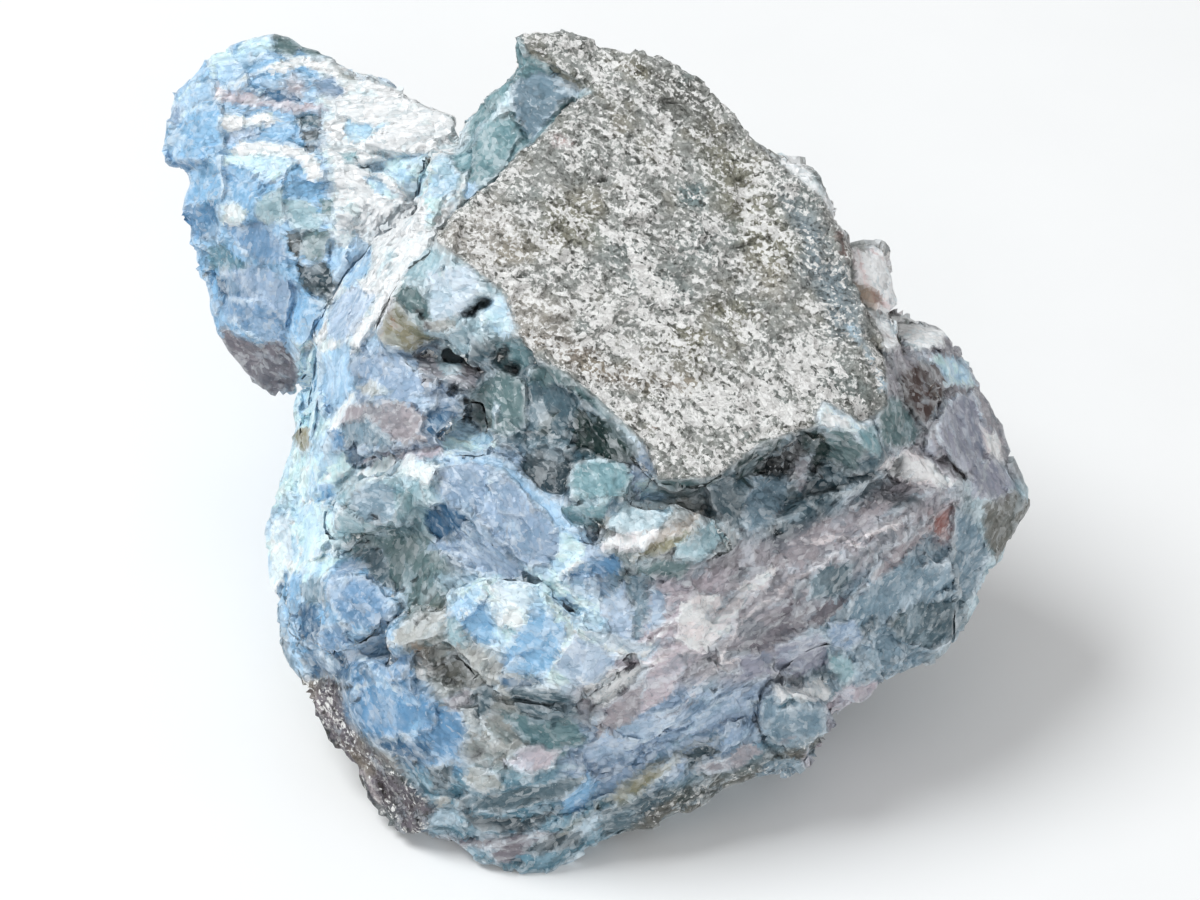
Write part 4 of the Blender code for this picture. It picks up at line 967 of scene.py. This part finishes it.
def slab_share(place, near):
    """1 on the host rock's broken top and rim, where the slab's plane is close and the outline holds it."""
    across = (place[:, 0] - PICTURE_MIDDLE[0]) * UNIT
    up = (PICTURE_MIDDLE[1] - place[:, 1]) * UNIT
    plane = SLAB_NEAR - SLAB_FALL[0] * across - SLAB_FALL[1] * up
    share = np.zeros(len(place))
    for outline in HOST.values():
        share = np.maximum(share, ease(depth_inside(place, outline), -6, 2))
    return share * ease(near - plane, -SLAB_DEPTH * 1.5, -SLAB_DEPTH)


# Shaping
def stone_copy():
    """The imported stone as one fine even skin, its CAD triangles eased away."""
    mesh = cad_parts["larimar"].data.copy()
    mesh.materials.clear()
    stone = bpy.data.objects.new("larimar_stone", mesh)
    bpy.context.scene.collection.objects.link(stone)
    bpy.ops.object.select_all(action="DESELECT")
    stone.select_set(True)
    bpy.context.view_layer.objects.active = stone
    bpy.ops.object.mode_set(mode="EDIT")
    bpy.ops.mesh.select_all(action="SELECT")
    bpy.ops.mesh.remove_doubles(threshold=MERGED)
    bpy.ops.object.mode_set(mode="OBJECT")
    skin = stone.modifiers.new("fine skin", "REMESH")
    skin.mode = "VOXEL"
    skin.voxel_size = FINE
    bpy.ops.object.modifier_apply(modifier=skin.name)
    eased = stone.modifiers.new("eased", "SMOOTH")
    eased.iterations = EASING
    bpy.ops.object.modifier_apply(modifier=eased.name)
    return stone


def shape_faces(points, place, near, shown, slab):
    """Brings each listed face of the display side to its own plane."""
    flats = near.copy()
    for row in FACES.values():
        if not row["flat"]:
            continue
        chosen = near_outline(place, row["outline"], 6)
        inside = depth_inside(place[chosen], row["outline"])
        cover = ease(inside, -1.8, 1.8) * shown[chosen] * (1 - slab[chosen])
        core = cover > 0.5
        if core.sum() < 12:
            continue
        across = (place[chosen, 0] - PICTURE_MIDDLE[0]) * UNIT
        up = (PICTURE_MIDDLE[1] - place[chosen, 1]) * UNIT
        table = np.stack([across, up, np.ones(len(chosen))], axis=1)
        plane = np.linalg.lstsq(table[core], near[chosen][core], rcond=None)[0]
        middle = (across[core].mean(), up[core].mean())
        wanted = table @ plane + row["lift"] * STEP * MM
        wanted += row["lean"][0] * (across - middle[0]) + row["lean"][1] * (up - middle[1])
        move = np.clip(wanted - near[chosen], -FARTHEST_MOVE, FARTHEST_MOVE)
        flats[chosen] += (near[chosen] + move * row["flat"] - flats[chosen]) * cover
    return points + (flats - near)[:, None] * TOWARD


def shape_outline(points, place):
    """Draws the skin in or out along the picture where the outline needs it."""
    for middle, reach, shift in SHIFTS.values():
        away = ((place - middle) / reach) ** 2
        share = np.exp(-away.sum(axis=1))[:, None] * UNIT
        points = points + share * (RIGHT * shift[0] - UP * shift[1])
    return points


def line_cover(points, place, row, margin=4):
    """The points by a crack or vein, and how close they are to its middle, from 0 to 1, with gaps."""
    chosen = near_outline(place, row["route"], row["width"] * 2 + margin)
    route = row["route"]
    parts = zip(route, route[1:])
    distance = np.min([line_distance(place[chosen], start, end) for start, end in parts], axis=0)
    broken_up = 0.75 + 0.45 * ripple(points[chosen], 1.6 * MM, 65)
    width = row["width"] * 0.42 * (1 + 0.5 * ripple(points[chosen], 1.1 * MM, 66))
    return chosen, np.exp(-(distance / width) ** 2) * np.clip(broken_up, 0.1, 1)


def shape_lines(points, place, shown):
    """Sinks the cracks, specks and pits, and raises the veins."""
    for row in itertools.chain(CRACKS.values(), VEINS.values()):
        chosen, close = line_cover(points, place, row)
        points[chosen] -= (close * shown[chosen] * row["depth"] * STEP * MM)[:, None] * TOWARD
    for across, down, size, *depth in itertools.chain(SPECKS, PITS):
        chosen = near_outline(place, ((across, down),), size * 3)
        away = np.hypot(place[chosen, 0] - across, place[chosen, 1] - down)
        sunk = depth[0] if depth else 0.06 * size
        points[chosen] -= (np.exp(-(away / size) ** 4) * shown[chosen] * sunk * MM)[:, None] * TOWARD
    return points


def bundles(points, shown):
    """The bundle of fibres that each point belongs to: its seed, the way it runs, and a number of its own."""
    moved = points + drift(points, 3 * MM, 121, 122, 123) * 1.2 * MM
    offset, key = broken(moved, BUNDLE, 124)
    seed = moved - offset * BUNDLE
    place, _ = in_picture(seed)
    way = key * 180
    for degrees, outline in FIBRES.values():
        chosen = near_outline(place, outline, 0)
        chosen = chosen[(depth_inside(place[chosen], outline) > 0) & (shown[chosen] > 0.5)]
        way[chosen] = degrees + (key[chosen] - 0.5) * 44
    return seed, np.radians(way), key


def in_bundle(points, seed, way, key):
    """Points in their bundle's own frame: along the fibres, across them and in depth."""
    away = points - seed
    across = away @ RIGHT
    up = away @ UP
    along = across * np.cos(way) + up * np.sin(way) + key * 90 * MM
    beside = up * np.cos(way) - across * np.sin(way) + key * 50 * MM
    return np.stack([along, beside, away @ TOWARD], axis=1)


def chipped(points, normals, fibres, host, plain, shown):
    """Breaks the skin into small tilted chips and splinters, and the host rock into grains."""
    depth = np.zeros(len(points))
    bent = drift(points, 4 * MM, 1, 2, 3) * 0.7 * MM
    bent += drift(points, 1.5 * MM, 4, 5, 6) * 0.25 * MM
    long_way = fibres * (0.5, 1, 1) + bent
    rugged = ease(ripple(points, 9 * MM, 7) + ripple(points, 4 * MM, 8) * 0.5, -0.5, 0.6) * (1 - 0.6 * plain)
    # Facets, then chips: their size and height in mm
    for size, height, salt in ((14.0, 0.55 * (1 - shown), 5), (7.0, 0.38 - 0.26 * plain, 10),
                               (3.0, 0.05 + 0.17 * rugged, 20), (1.4, 0.04 + 0.13 * rugged, 30)):
        offset, key = broken(long_way, size * MM, salt)
        turn = np.stack([np.sin(key * 40), np.cos(key * 57), np.sin(key * 91 + 1)], axis=1)
        depth += ((offset * turn).sum(axis=1) * 1.3 + (key - 0.5) * 0.5) * height * (1 - 0.2 * host)
    strands = fibres * (0.12, 1, 1) + bent * 0.5
    depth += (ripple(strands, 1.3 * MM, 9) * 0.06 + ripple(strands, 0.6 * MM, 11) * 0.03) * (1 - host)
    _, coarse = broken(points + bent, 1.3 * MM, 40)
    _, fine = broken(points, 0.7 * MM, 50)
    _, plate = broken(long_way, 4.5 * MM, 60)
    rough = (coarse - 0.5) * 0.28 + (fine - 0.5) * 0.18 + (plate - 0.5) * 0.55
    depth += host * (rough + ripple(points, 5 * MM, 6) * 0.2)
    return points + normals * (depth * MM)[:, None]


def kept_inside(points):
    """Keeps the skin in the CAD box and its rest face flat."""
    low = np.array(CAD_BOX[0])
    high = np.array(CAD_BOX[1])
    points = np.clip(points, low, high)
    points[:, 2] = np.where(points[:, 2] < low[2] + REST_BAND, low[2], points[:, 2])
    return points


def thinned(stone, front):
    """Takes the skin below its limit of triangles, the hidden side first."""
    group = stone.vertex_groups.new(name="hidden")
    group.add(np.nonzero(front < 0.5)[0].tolist(), 0.62, "REPLACE")
    group.add(np.nonzero(front >= 0.5)[0].tolist(), 0.42, "REPLACE")
    thinner = stone.modifiers.new("thinned", "DECIMATE")
    thinner.ratio = TRIANGLES / (2 * len(stone.data.polygons))
    thinner.vertex_group = group.name
    thinner.vertex_group_factor = 1
    thinner.use_collapse_triangulate = True
    bpy.ops.object.modifier_apply(modifier=thinner.name)
    stone.vertex_groups.clear()


def ragged_place(points, place):
    """Picture places moved a little to and fro, so that the edges laid out in them break unevenly."""
    return place + drift(points, 2.2 * MM, 61, 62) * 3 + drift(points, 0.8 * MM, 63, 64) * 2.2


def plain_share(place, shown):
    """1 inside the listed faces, whose own plane is mostly unbroken."""
    plain = np.zeros(len(place))
    for row in FACES.values():
        chosen = near_outline(place, row["outline"], 2)
        inside = ease(depth_inside(place[chosen], row["outline"]), -1, 5)
        plain[chosen] = np.maximum(plain[chosen], inside * shown[chosen])
    return plain


def shaped_stone():
    stone = stone_copy()
    mesh = stone.data
    points = read_points(mesh)
    normals = read_normals(mesh)
    shown = seen_from_front(mesh, points, normals)
    place, near = in_picture(points)
    slab = slab_share(place, near) * shown
    bundle = bundles(points, shown)
    fibres = in_bundle(points, *bundle)
    ragged = ragged_place(points, place)
    points = shape_faces(points, ragged, near, shown, slab)
    points = shape_outline(points, place)
    points = shape_lines(points, ragged, shown)
    write_points(mesh, points)
    host = host_share(points, slab, shown)
    plain = plain_share(ragged, shown)
    points = kept_inside(chipped(points, read_normals(mesh), fibres, host, plain, shown))
    write_points(mesh, points)
    thinned(stone, shown)
    write_points(mesh, kept_inside(read_points(mesh)))
    return stone


# Colour
def tint(name):
    """A palette colour as linear light."""
    value = np.array(PALETTE[name]) / 255
    return np.where(value <= 0.04045, value / 12.92, ((value + 0.055) / 1.055) ** 2.4)


def lay(colour, chosen, name, cover):
    """Lays a tint over the chosen points, as thickly as the cover says."""
    colour[chosen] += (tint(name) - colour[chosen]) * cover[:, None]


# Zones of the hidden sides: tint, second tint, middle and reach in mm, and how much of it is host rock.
HIDDEN = {
    "back host": ("stone", "dark stone", (10, 30, 38), 26, 1.0),
    "back blue": ("sky", "clear blue", (-18, 30, 34), 16, 0.0),
    "back blue low": ("clear blue", "sea blue", (-2, 36, 16), 15, 0.0),
    "back white": ("frost", "snow", (-10, 34, 26), 8, 0.0),
    "back teal": ("sea green", "teal blue", (18, 34, 14), 12, 0.0),
    "back pink": ("dusty pink", "mauve", (34, 18, 26), 13, 0.1),
    "right end": ("green grey", "mauve", (42, 0, 22), 10, 0.4),
    "right low": ("steel", "slate", (30, -10, 8), 13, 0.1),
    "left lobe": ("clear blue", "sky", (-40, 12, 40), 16, 0.0),
    "left low": ("ice", "clear blue", (-32, 2, 20), 13, 0.0),
    "left rind": ("dark stone", "olive", (-24, -18, 8), 11, 1.0),
    "under left": ("dark stone", "stone", (-10, 0, 0), 16, 1.0),
    "under right": ("slate", "steel", (16, 2, 0), 16, 0.3),
    "under front": ("teal blue", "slate", (0, -30, 2), 14, 0.2),
    "top host": ("stone", "cloud", (4, 20, 56), 18, 1.0),
    "back brown": ("tan", "maroon", (26, 30, 30), 7, 0.6),
}


def hidden_zones(points):
    """Colour and host rock of the sides that the display view doesn't show, as a mosaic of zones."""
    moved = points + drift(points, 7 * MM, 71, 72, 73) * 4 * MM
    moved += drift(points, 2 * MM, 74, 75, 76) * 1.2 * MM
    _, key = broken(moved * (1, 0.6, 1), 4 * MM, 80)
    weights = []
    colours = []
    rocks = []
    for first, second, middle, reach, rock in HIDDEN.values():
        away = np.sqrt(((moved - np.array(middle) * MM) ** 2).sum(axis=1)) / (reach * MM)
        weights.append(np.exp(-6 * away))
        colours.append(tint(first) + (tint(second) - tint(first)) * key[:, None])
        rocks.append(np.full(len(points), rock))
    weights = np.array(weights)
    weights /= weights.sum(axis=0)
    colour = (np.array(colours) * weights[:, :, None]).sum(axis=0)
    return colour, (np.array(rocks) * weights).sum(axis=0)


def host_share(points, slab, shown):
    """How much of each point is host rock: the slab in the display view, and zones on the hidden sides."""
    _, hidden = hidden_zones(points)
    place, _ = in_picture(points)
    rind = np.zeros(len(points))
    for name, most in (("left rind", 0.75), ("lower rim", 0.5)):
        outline = ZONES[name]["outline"]
        chosen = near_outline(place, outline, 6)
        cover = most * ease(depth_inside(place[chosen], outline), -6, 6)
        rind[chosen] = np.maximum(rind[chosen], cover)
    return np.where(shown > 0.5, np.maximum(slab, rind), hidden)


def mosaic(points, fibres, colour, strength):
    """Splinters and chips a little lighter, paler or deeper than their neighbours."""
    bent = fibres * (0.35, 1, 1) + drift(points, 1.5 * MM, 91, 92, 93) * 0.5 * MM
    _, key = broken(bent, 2.4 * MM, 94)
    _, small = broken(bent, 1.1 * MM, 100)
    colour = colour * (1 + ((key - 0.5) * 0.22 + (small - 0.5) * 0.18) * strength)[:, None]
    white = (ease(small, 0.88, 0.92) * 0.35 + ease(key, 0.90, 0.92) * 0.25) * strength
    deep = (ease(small, 0.12, 0.08) * 0.30 + ease(key, 0.10, 0.08) * 0.20) * strength
    colour += (tint("frost") - colour) * white[:, None]
    return colour * (1 - deep[:, None] * (0.75, 0.5, 0.42))


def painted(points, place, fibres, shown, slab, colour):
    """Lays the display side's zones, faces, veins and cracks over the colour."""
    for row in itertools.chain(ZONES.values(), FACES.values()):
        chosen = near_outline(place, row["outline"], row["soft"] + 2)
        inside = depth_inside(place[chosen], row["outline"])
        cover = ease(inside, -row["soft"], row["soft"]) * shown[chosen] * (1 - slab[chosen])
        lay(colour, chosen, row["tint"], cover)
        if row["flat"]:
            # A painted rim along each flat face's edge: pale on raised faces, for painted highlight and
            # whitened broken edges, and darker on sunk faces, for painted shade
            rim = np.exp(-((inside - 1) / 1.3) ** 2) * ease(ripple(points[chosen], 2.4 * MM, 67), -0.1, 0.5)
            rim *= shown[chosen] * (1 - slab[chosen])
            wanted = tint("frost") if row["lift"] >= 0 else colour[chosen] * (0.5, 0.62, 0.68)
            rim *= 0.6 if row["lift"] >= 0 else 0.5
            colour[chosen] += (wanted - colour[chosen]) * rim[:, None]
    colour = mosaic(points, fibres, colour, (1 - slab) * (1 - 0.35 * plain_share(place, shown)))
    rock = np.tile(tint("stone"), (len(points), 1))
    for row in GROUND.values():
        if row["tint"] in CRUST:
            continue
        chosen = near_outline(place, row["outline"], row["soft"])
        cover = ease(depth_inside(place[chosen], row["outline"]), -row["soft"], row["soft"])
        lay(rock, chosen, row["tint"], cover * 0.6)
    colour += (rock - colour) * (slab * shown)[:, None]
    for row in itertools.chain(VEINS.values(), CRACKS.values()):
        chosen, close = line_cover(points, place, row)
        cover = np.minimum(1, close) * shown[chosen] * (0.85 if row["depth"] < 0 else 0.6)
        lay(colour, chosen, row["tint"], cover)
    for across, down, size, *pit in itertools.chain(SPECKS, PITS):
        chosen = near_outline(place, ((across, down),), size * 3)
        away = np.hypot(place[chosen, 0] - across, place[chosen, 1] - down)
        reach = size * (0.85 if pit else 0.6)
        cover = np.exp(-(away / reach) ** 4) * shown[chosen] * 0.85
        lay(colour, chosen, "ink", cover)
    return colour


def crust_share(place, shown):
    """How thickly the host rock is crusted with white grains, from 0 to 1."""
    share = np.full(len(place), BASE_CRUST)
    for name in ("left rind", "lower rim"):
        outline = ZONES[name]["outline"]
        rind = near_outline(place, outline, 12)
        share[rind] -= 0.35 * ease(depth_inside(place[rind], outline), -12, 0)
    for row in GROUND.values():
        if row["tint"] in CRUST:
            chosen = near_outline(place, row["outline"], row["soft"] * 1.5)
            inside = depth_inside(place[chosen], row["outline"])
            cover = ease(inside, -row["soft"] * 1.5, row["soft"]) * shown[chosen]
            thicker = BASE_CRUST + cover * (CRUST[row["tint"]] - BASE_CRUST)
            share[chosen] = np.maximum(share[chosen], thicker)
    return share


def carried_round(points, colour, shown):
    """Lets the display side's colours run on for a few millimetres past its edge."""
    tree = KDTree(int(shown.sum()))
    for index in np.nonzero(shown > 0.5)[0]:
        tree.insert(points[index], index)
    tree.balance()
    for index in np.nonzero(shown < 0.5)[0]:
        _, source, far = tree.find(points[index])
        if far < CARRIED:
            share = np.exp(-(far / FADING) ** 2)
            colour[index] += (colour[source] - colour[index]) * share
    return colour


def coloured(stone):
    mesh = stone.data
    points = read_points(mesh)
    normals = read_normals(mesh)
    edges = read_edges(mesh)
    shown = seen_from_front(mesh, points, normals)
    place, near = in_picture(points)
    slab = spread(slab_share(place, near) * shown, edges, 1)
    bundle = bundles(points, shown)
    fibres = in_bundle(points, *bundle)
    ragged = ragged_place(points, place)
    hidden_colour, _ = hidden_zones(points)
    host = host_share(points, slab, shown)
    colour = painted(points, ragged, fibres, shown, slab, hidden_colour)
    colour = carried_round(points, colour, shown)
    bend = ((spread(points, edges, 3) - points) * normals).sum(axis=1) / MM
    wide = ((spread(points, edges, 14) - points) * normals).sum(axis=1) / MM
    # Painted highlight and wear: convex edges, where the skin bends outwards, are whitened in the material,
    # for light caught on them and for crushed broken edges
    edge_wear_and_highlight = ease(-bend, 0.03, 0.16)
    # Painted shade: hollows, where the skin bends inwards, are darkened as if shade falls in them
    hollow = ease(wide, 0.05, 0.6)
    colour *= (1 - 0.15 * hollow)[:, None]
    colour = np.clip(colour * (colour / MIDDLE_LIGHT) ** CONTRAST, 0, 0.96)
    # Each triangle keeps mostly to one colour and one bundle, so that the small breaks stay crisp
    corners = read_corners(mesh)
    leader = np.repeat(corners[::3], 3)
    flat = colour[leader] * 0.6 + colour[corners] * 0.4
    store(mesh, "stone_colour", np.clip(flat, 0, 1), "CORNER")
    led = in_bundle(points[corners], *[row[leader] for row in bundle])
    store(mesh, "fibre_place", led, "CORNER")
    store(mesh, "host", np.clip(host, 0, 1))
    store(mesh, "edge_wear_and_highlight", edge_wear_and_highlight)
    store(mesh, "crust", crust_share(ragged, shown))
    store(mesh, "plain", plain_share(ragged, shown) * (1 - host))


def store(mesh, name, values, domain="POINT"):
    kind, field = ("FLOAT_VECTOR", "vector") if values.ndim == 2 else ("FLOAT", "value")
    layer = mesh.attributes.new(name, kind, domain)
    layer.data.foreach_set(field, values.ravel())


# Materials
def put(tree, kind, inputs=None, **settings):
    """Adds a node. What inputs holds is linked where it is a socket and set where it is a value."""
    made = tree.nodes.new("ShaderNode" + kind)
    for name, value in settings.items():
        setattr(made, name, value)
    for key, value in (inputs or {}).items():
        if isinstance(value, bpy.types.NodeSocket):
            tree.links.new(value, made.inputs[key])
        else:
            made.inputs[key].default_value = value
    return made


def mixed(tree, share, first, second, blend="MIX"):
    made = put(tree, "Mix", {0: share, 6: first, 7: second}, data_type="RGBA", blend_type=blend)
    return made.outputs[2]


def sums(tree, operation, first, second=0.0, third=0.0):
    return put(tree, "Math", {0: first, 1: second, 2: third}, operation=operation).outputs[0]


def ranged(tree, value, low, high, start=0.0, end=1.0):
    return put(tree, "MapRange", {0: value, 1: low, 2: high, 3: start, 4: end}).outputs[0]


def grain(tree, place, scale, detail=3.0, rough=0.55):
    inputs = {"Vector": place, "Scale": scale, "Detail": detail, "Roughness": rough}
    return put(tree, "TexNoise", inputs).outputs[0]


def splinters(tree, frame_place, shake, scale, stretch=0.4):
    """Small broken splinters: each one's tilted height in metres, and a tone of its own."""
    reach = 0.7 / scale
    bent = put(tree, "VectorMath", {0: frame_place, 1: (stretch, 1, 1)}, operation="MULTIPLY").outputs[0]
    bent = put(tree, "VectorMath", {0: shake, 1: (reach,) * 3, 2: bent}, operation="MULTIPLY_ADD").outputs[0]
    cells = put(tree, "TexVoronoi", {"Vector": bent, "Scale": scale, "Randomness": 1})
    away = put(tree, "VectorMath", {0: bent, 1: cells.outputs["Position"]}, operation="SUBTRACT").outputs[0]
    own = {0: cells.outputs["Color"], 1: (0.5,) * 3}
    turn = put(tree, "VectorMath", own, operation="SUBTRACT").outputs[0]
    height = put(tree, "VectorMath", {0: away, 1: turn}, operation="DOT_PRODUCT").outputs["Value"]
    return height, put(tree, "SeparateColor", {0: cells.outputs["Color"]}).outputs[0]


def stone_material():
    material = bpy.data.materials.new("larimar and host rock")
    material.use_nodes = True
    tree = material.node_tree
    surface = tree.nodes["Principled BSDF"]
    place = put(tree, "TexCoord").outputs["Object"]
    fibre_frame = put(tree, "Attribute", attribute_name="fibre_place").outputs["Vector"]
    strands = put(tree, "VectorMath", {0: fibre_frame, 1: (0.12, 1, 1)}, operation="MULTIPLY").outputs[0]
    colour = put(tree, "Attribute", attribute_name="stone_colour").outputs["Vector"]
    host = put(tree, "Attribute", attribute_name="host").outputs["Fac"]
    edge_wear_and_highlight = put(tree, "Attribute", attribute_name="edge_wear_and_highlight").outputs["Fac"]
    plain = put(tree, "Attribute", attribute_name="plain").outputs["Fac"]

    # Larimar: cloudy patches, fibres, splinters and small flecks
    shake = put(tree, "TexNoise", {"Vector": place, "Scale": 1500, "Detail": 0.0}).outputs["Color"]
    shake = put(tree, "VectorMath", {0: shake, 1: (0.5, 0.5, 0.5)}, operation="SUBTRACT").outputs[0]
    cloud = grain(tree, place, 330, 4, 0.6)
    fibre = grain(tree, strands, 2000, 3, 0.65)
    chip, chip_tone = splinters(tree, fibre_frame, shake, 800)
    small_chip, small_tone = splinters(tree, fibre_frame, shake, 2100, 0.5)
    tone = sums(tree, "ADD", sums(tree, "MULTIPLY", chip_tone, 0.5), sums(tree, "MULTIPLY", small_tone, 0.5))
    fleck = grain(tree, place, 2300, 2, 0.7)
    pale = mixed(tree, 0.5, colour, (0.93, 0.97, 1.0, 1))
    deep = mixed(tree, 1.0, colour, (0.66, 0.76, 0.80, 1), "MULTIPLY")
    blue = mixed(tree, ranged(tree, cloud, 0.52, 0.75, 0, 0.4), colour, pale)
    blue = mixed(tree, ranged(tree, cloud, 0.48, 0.25, 0, 0.4), blue, deep)
    blue = mixed(tree, ranged(tree, fibre, 0.55, 0.72, 0, 0.22), blue, pale)
    blue = mixed(tree, ranged(tree, fibre, 0.45, 0.28, 0, 0.18), blue, deep)
    blue = mixed(tree, ranged(tree, tone, 0.56, 0.85, 0, 0.6), blue, pale)
    blue = mixed(tree, ranged(tree, tone, 0.44, 0.15, 0, 0.6), blue, deep)
    shade = mixed(tree, 1.0, colour, (0.45, 0.55, 0.60, 1), "MULTIPLY")
    blue = mixed(tree, ranged(tree, fleck, 0.64, 0.72, 0, 0.6), blue, pale)
    blue = mixed(tree, ranged(tree, fleck, 0.36, 0.30, 0, 0.6), blue, shade)
    # Convex edges whitened: painted highlight where edges catch the light, together with the whitish wear of
    # crushed broken edges
    blue = mixed(tree, sums(tree, "MULTIPLY", edge_wear_and_highlight, 0.3), blue, (0.90, 0.95, 0.98, 1))

    # Host rock: packed grains, some white, some dark, in patches, with a white crust in places
    crust = put(tree, "Attribute", attribute_name="crust").outputs["Fac"]
    patchy = grain(tree, place, 150, 3, 0.6)
    streak = put(tree, "Mapping", {"Vector": place, "Rotation": (0, 0.42, -0.72), "Scale": (2.2, 1, 1)},
                 vector_type="TEXTURE").outputs[0]
    cluster = grain(tree, streak, 420, 4, 0.7)
    speckle = grain(tree, place, 1900, 3, 0.8)
    _, grit_tone = splinters(tree, place, shake, 3400, 1.0)
    blend = sums(tree, "MULTIPLY", grit_tone, 0.48)
    blend = sums(tree, "ADD", sums(tree, "MULTIPLY", small_tone, 0.32), blend)
    blend = sums(tree, "ADD", blend, sums(tree, "MULTIPLY", speckle, 0.5))
    light_rock = mixed(tree, 0.6, colour, (0.76, 0.76, 0.73, 1))
    dark_rock = mixed(tree, 1.0, colour, (0.50, 0.52, 0.50, 1), "MULTIPLY")
    rock = mixed(tree, ranged(tree, blend, 0.65, 0.92, 0, 0.75), colour, light_rock)
    rock = mixed(tree, ranged(tree, blend, 0.60, 0.34, 0, 0.7), rock, dark_rock)
    rock = mixed(tree, ranged(tree, patchy, 0.54, 0.66, 0, 0.4), rock, (0.40, 0.35, 0.25, 1))
    rock = mixed(tree, ranged(tree, patchy, 0.46, 0.34, 0, 0.4), rock, (0.29, 0.36, 0.36, 1))
    thick = sums(tree, "ADD", sums(tree, "MULTIPLY", cluster, 1.5), sums(tree, "MULTIPLY", crust, 0.38))
    white_level = sums(tree, "ADD", thick, sums(tree, "MULTIPLY", blend, 0.9))
    dark_level = sums(tree, "SUBTRACT", blend, sums(tree, "MULTIPLY", cluster, 0.4))
    rock = mixed(tree, ranged(tree, dark_level, 0.20, 0.15, 0, 0.6), rock, (0.07, 0.07, 0.06, 1))
    rock = mixed(tree, ranged(tree, white_level, 1.51, 1.65, 0, 0.97), rock, (1.0, 0.99, 0.97, 1))

    wander = sums(tree, "MULTIPLY", sums(tree, "SUBTRACT", fleck, 0.5), 0.5)
    host_edge = ranged(tree, sums(tree, "ADD", host, wander), 0.35, 0.65)
    final = mixed(tree, host_edge, blue, rock)
    tree.links.new(final, surface.inputs["Base Color"])

    gloss = ranged(tree, cloud, 0.3, 0.7, 0.30, 0.48)
    rough = put(tree, "Mix", {0: host_edge, 2: gloss, 3: 0.85}, data_type="FLOAT").outputs[0]
    tree.links.new(rough, surface.inputs["Roughness"])
    surface.inputs["Specular IOR Level"].default_value = 0.45

    # Heights in metres: splinters tilted each its own way, strands and grains
    splinter = sums(tree, "ADD", sums(tree, "MULTIPLY", chip, 0.75), sums(tree, "MULTIPLY", small_chip, 1.6))
    splinter = sums(tree, "MULTIPLY", splinter, ranged(tree, plain, 0, 1, 1.0, 0.45))
    strand = sums(tree, "MULTIPLY", fibre, 0.07 * MM)
    grains = sums(tree, "MULTIPLY_ADD", speckle, 0.55 * MM, sums(tree, "MULTIPLY", small_chip, 2.2))
    broken_height = sums(tree, "ADD", splinter, strand)
    height = put(tree, "Mix", {0: ranged(tree, host, 0.35, 0.65), 2: broken_height, 3: grains},
                 data_type="FLOAT").outputs[0]
    bump = put(tree, "Bump", {"Height": height, "Strength": 1.0, "Distance": 1.0})
    tree.links.new(bump.outputs[0], surface.inputs["Normal"])
    return material


def floor_material():
    material = bpy.data.materials.new("pale paper")
    material.use_nodes = True
    tree = material.node_tree
    surface = tree.nodes["Principled BSDF"]
    place = put(tree, "TexCoord").outputs["Object"]
    tone = mixed(tree, grain(tree, place, 60, 2), (0.93, 0.93, 0.93, 1), (0.96, 0.96, 0.96, 1))
    tree.links.new(tone, surface.inputs["Base Color"])
    surface.inputs["Roughness"].default_value = 0.9
    return material


# Stage
def add_floor():
    bpy.ops.object.select_all(action="DESELECT")
    bpy.ops.mesh.primitive_plane_add(size=6, location=(0, 0, 0))
    floor = bpy.context.object
    floor.name = "paper_floor"
    floor.data.materials.append(floor_material())


def add_lamp(name, place, size, power, colour=(1, 1, 1)):
    light = bpy.data.lights.new(name, "AREA")
    light.shape = "DISK"
    light.size = size
    light.energy = power
    light.color = colour
    lamp = bpy.data.objects.new(name, light)
    lamp.location = place
    lamp.rotation_euler = (-Vector(place)).to_track_quat("-Z", "Y").to_euler()
    bpy.context.scene.collection.objects.link(lamp)


def add_light():
    world = bpy.data.worlds.new("studio")
    world.use_nodes = True
    world.node_tree.nodes["Background"].inputs["Color"].default_value = (1, 1, 1, 1)
    world.node_tree.nodes["Background"].inputs["Strength"].default_value = 0.46
    bpy.context.scene.world = world
    add_lamp("window", (-0.45, 0.10, 0.75), 0.45, 5.2, (0.95, 0.985, 1.0))
    add_lamp("front fill", (0.15, -0.80, 0.40), 0.6, 1.7)
    bpy.context.scene.view_settings.view_transform = "Standard"


def add_camera():
    data = bpy.data.cameras.new("display view")
    data.lens = LENS
    data.sensor_width = SENSOR
    data.clip_start = 0.01
    camera = bpy.data.objects.new("display view", data)
    camera.location = MIDDLE + TOWARD * DISTANCE
    camera.rotation_euler = Vector(-TOWARD).to_track_quat("-Z", "Y").to_euler()
    bpy.context.scene.collection.objects.link(camera)
    bpy.context.scene.camera = camera


add_camera()
add_light()
add_floor()

stone = shaped_stone()
coloured(stone)
stone.data.materials.append(stone_material())
bpy.ops.object.select_all(action="DESELECT")
stone.select_set(True)
bpy.context.view_layer.objects.active = stone
bpy.ops.object.shade_smooth_by_angle(angle=SHARP)
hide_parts("larimar")
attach(stone, "root")
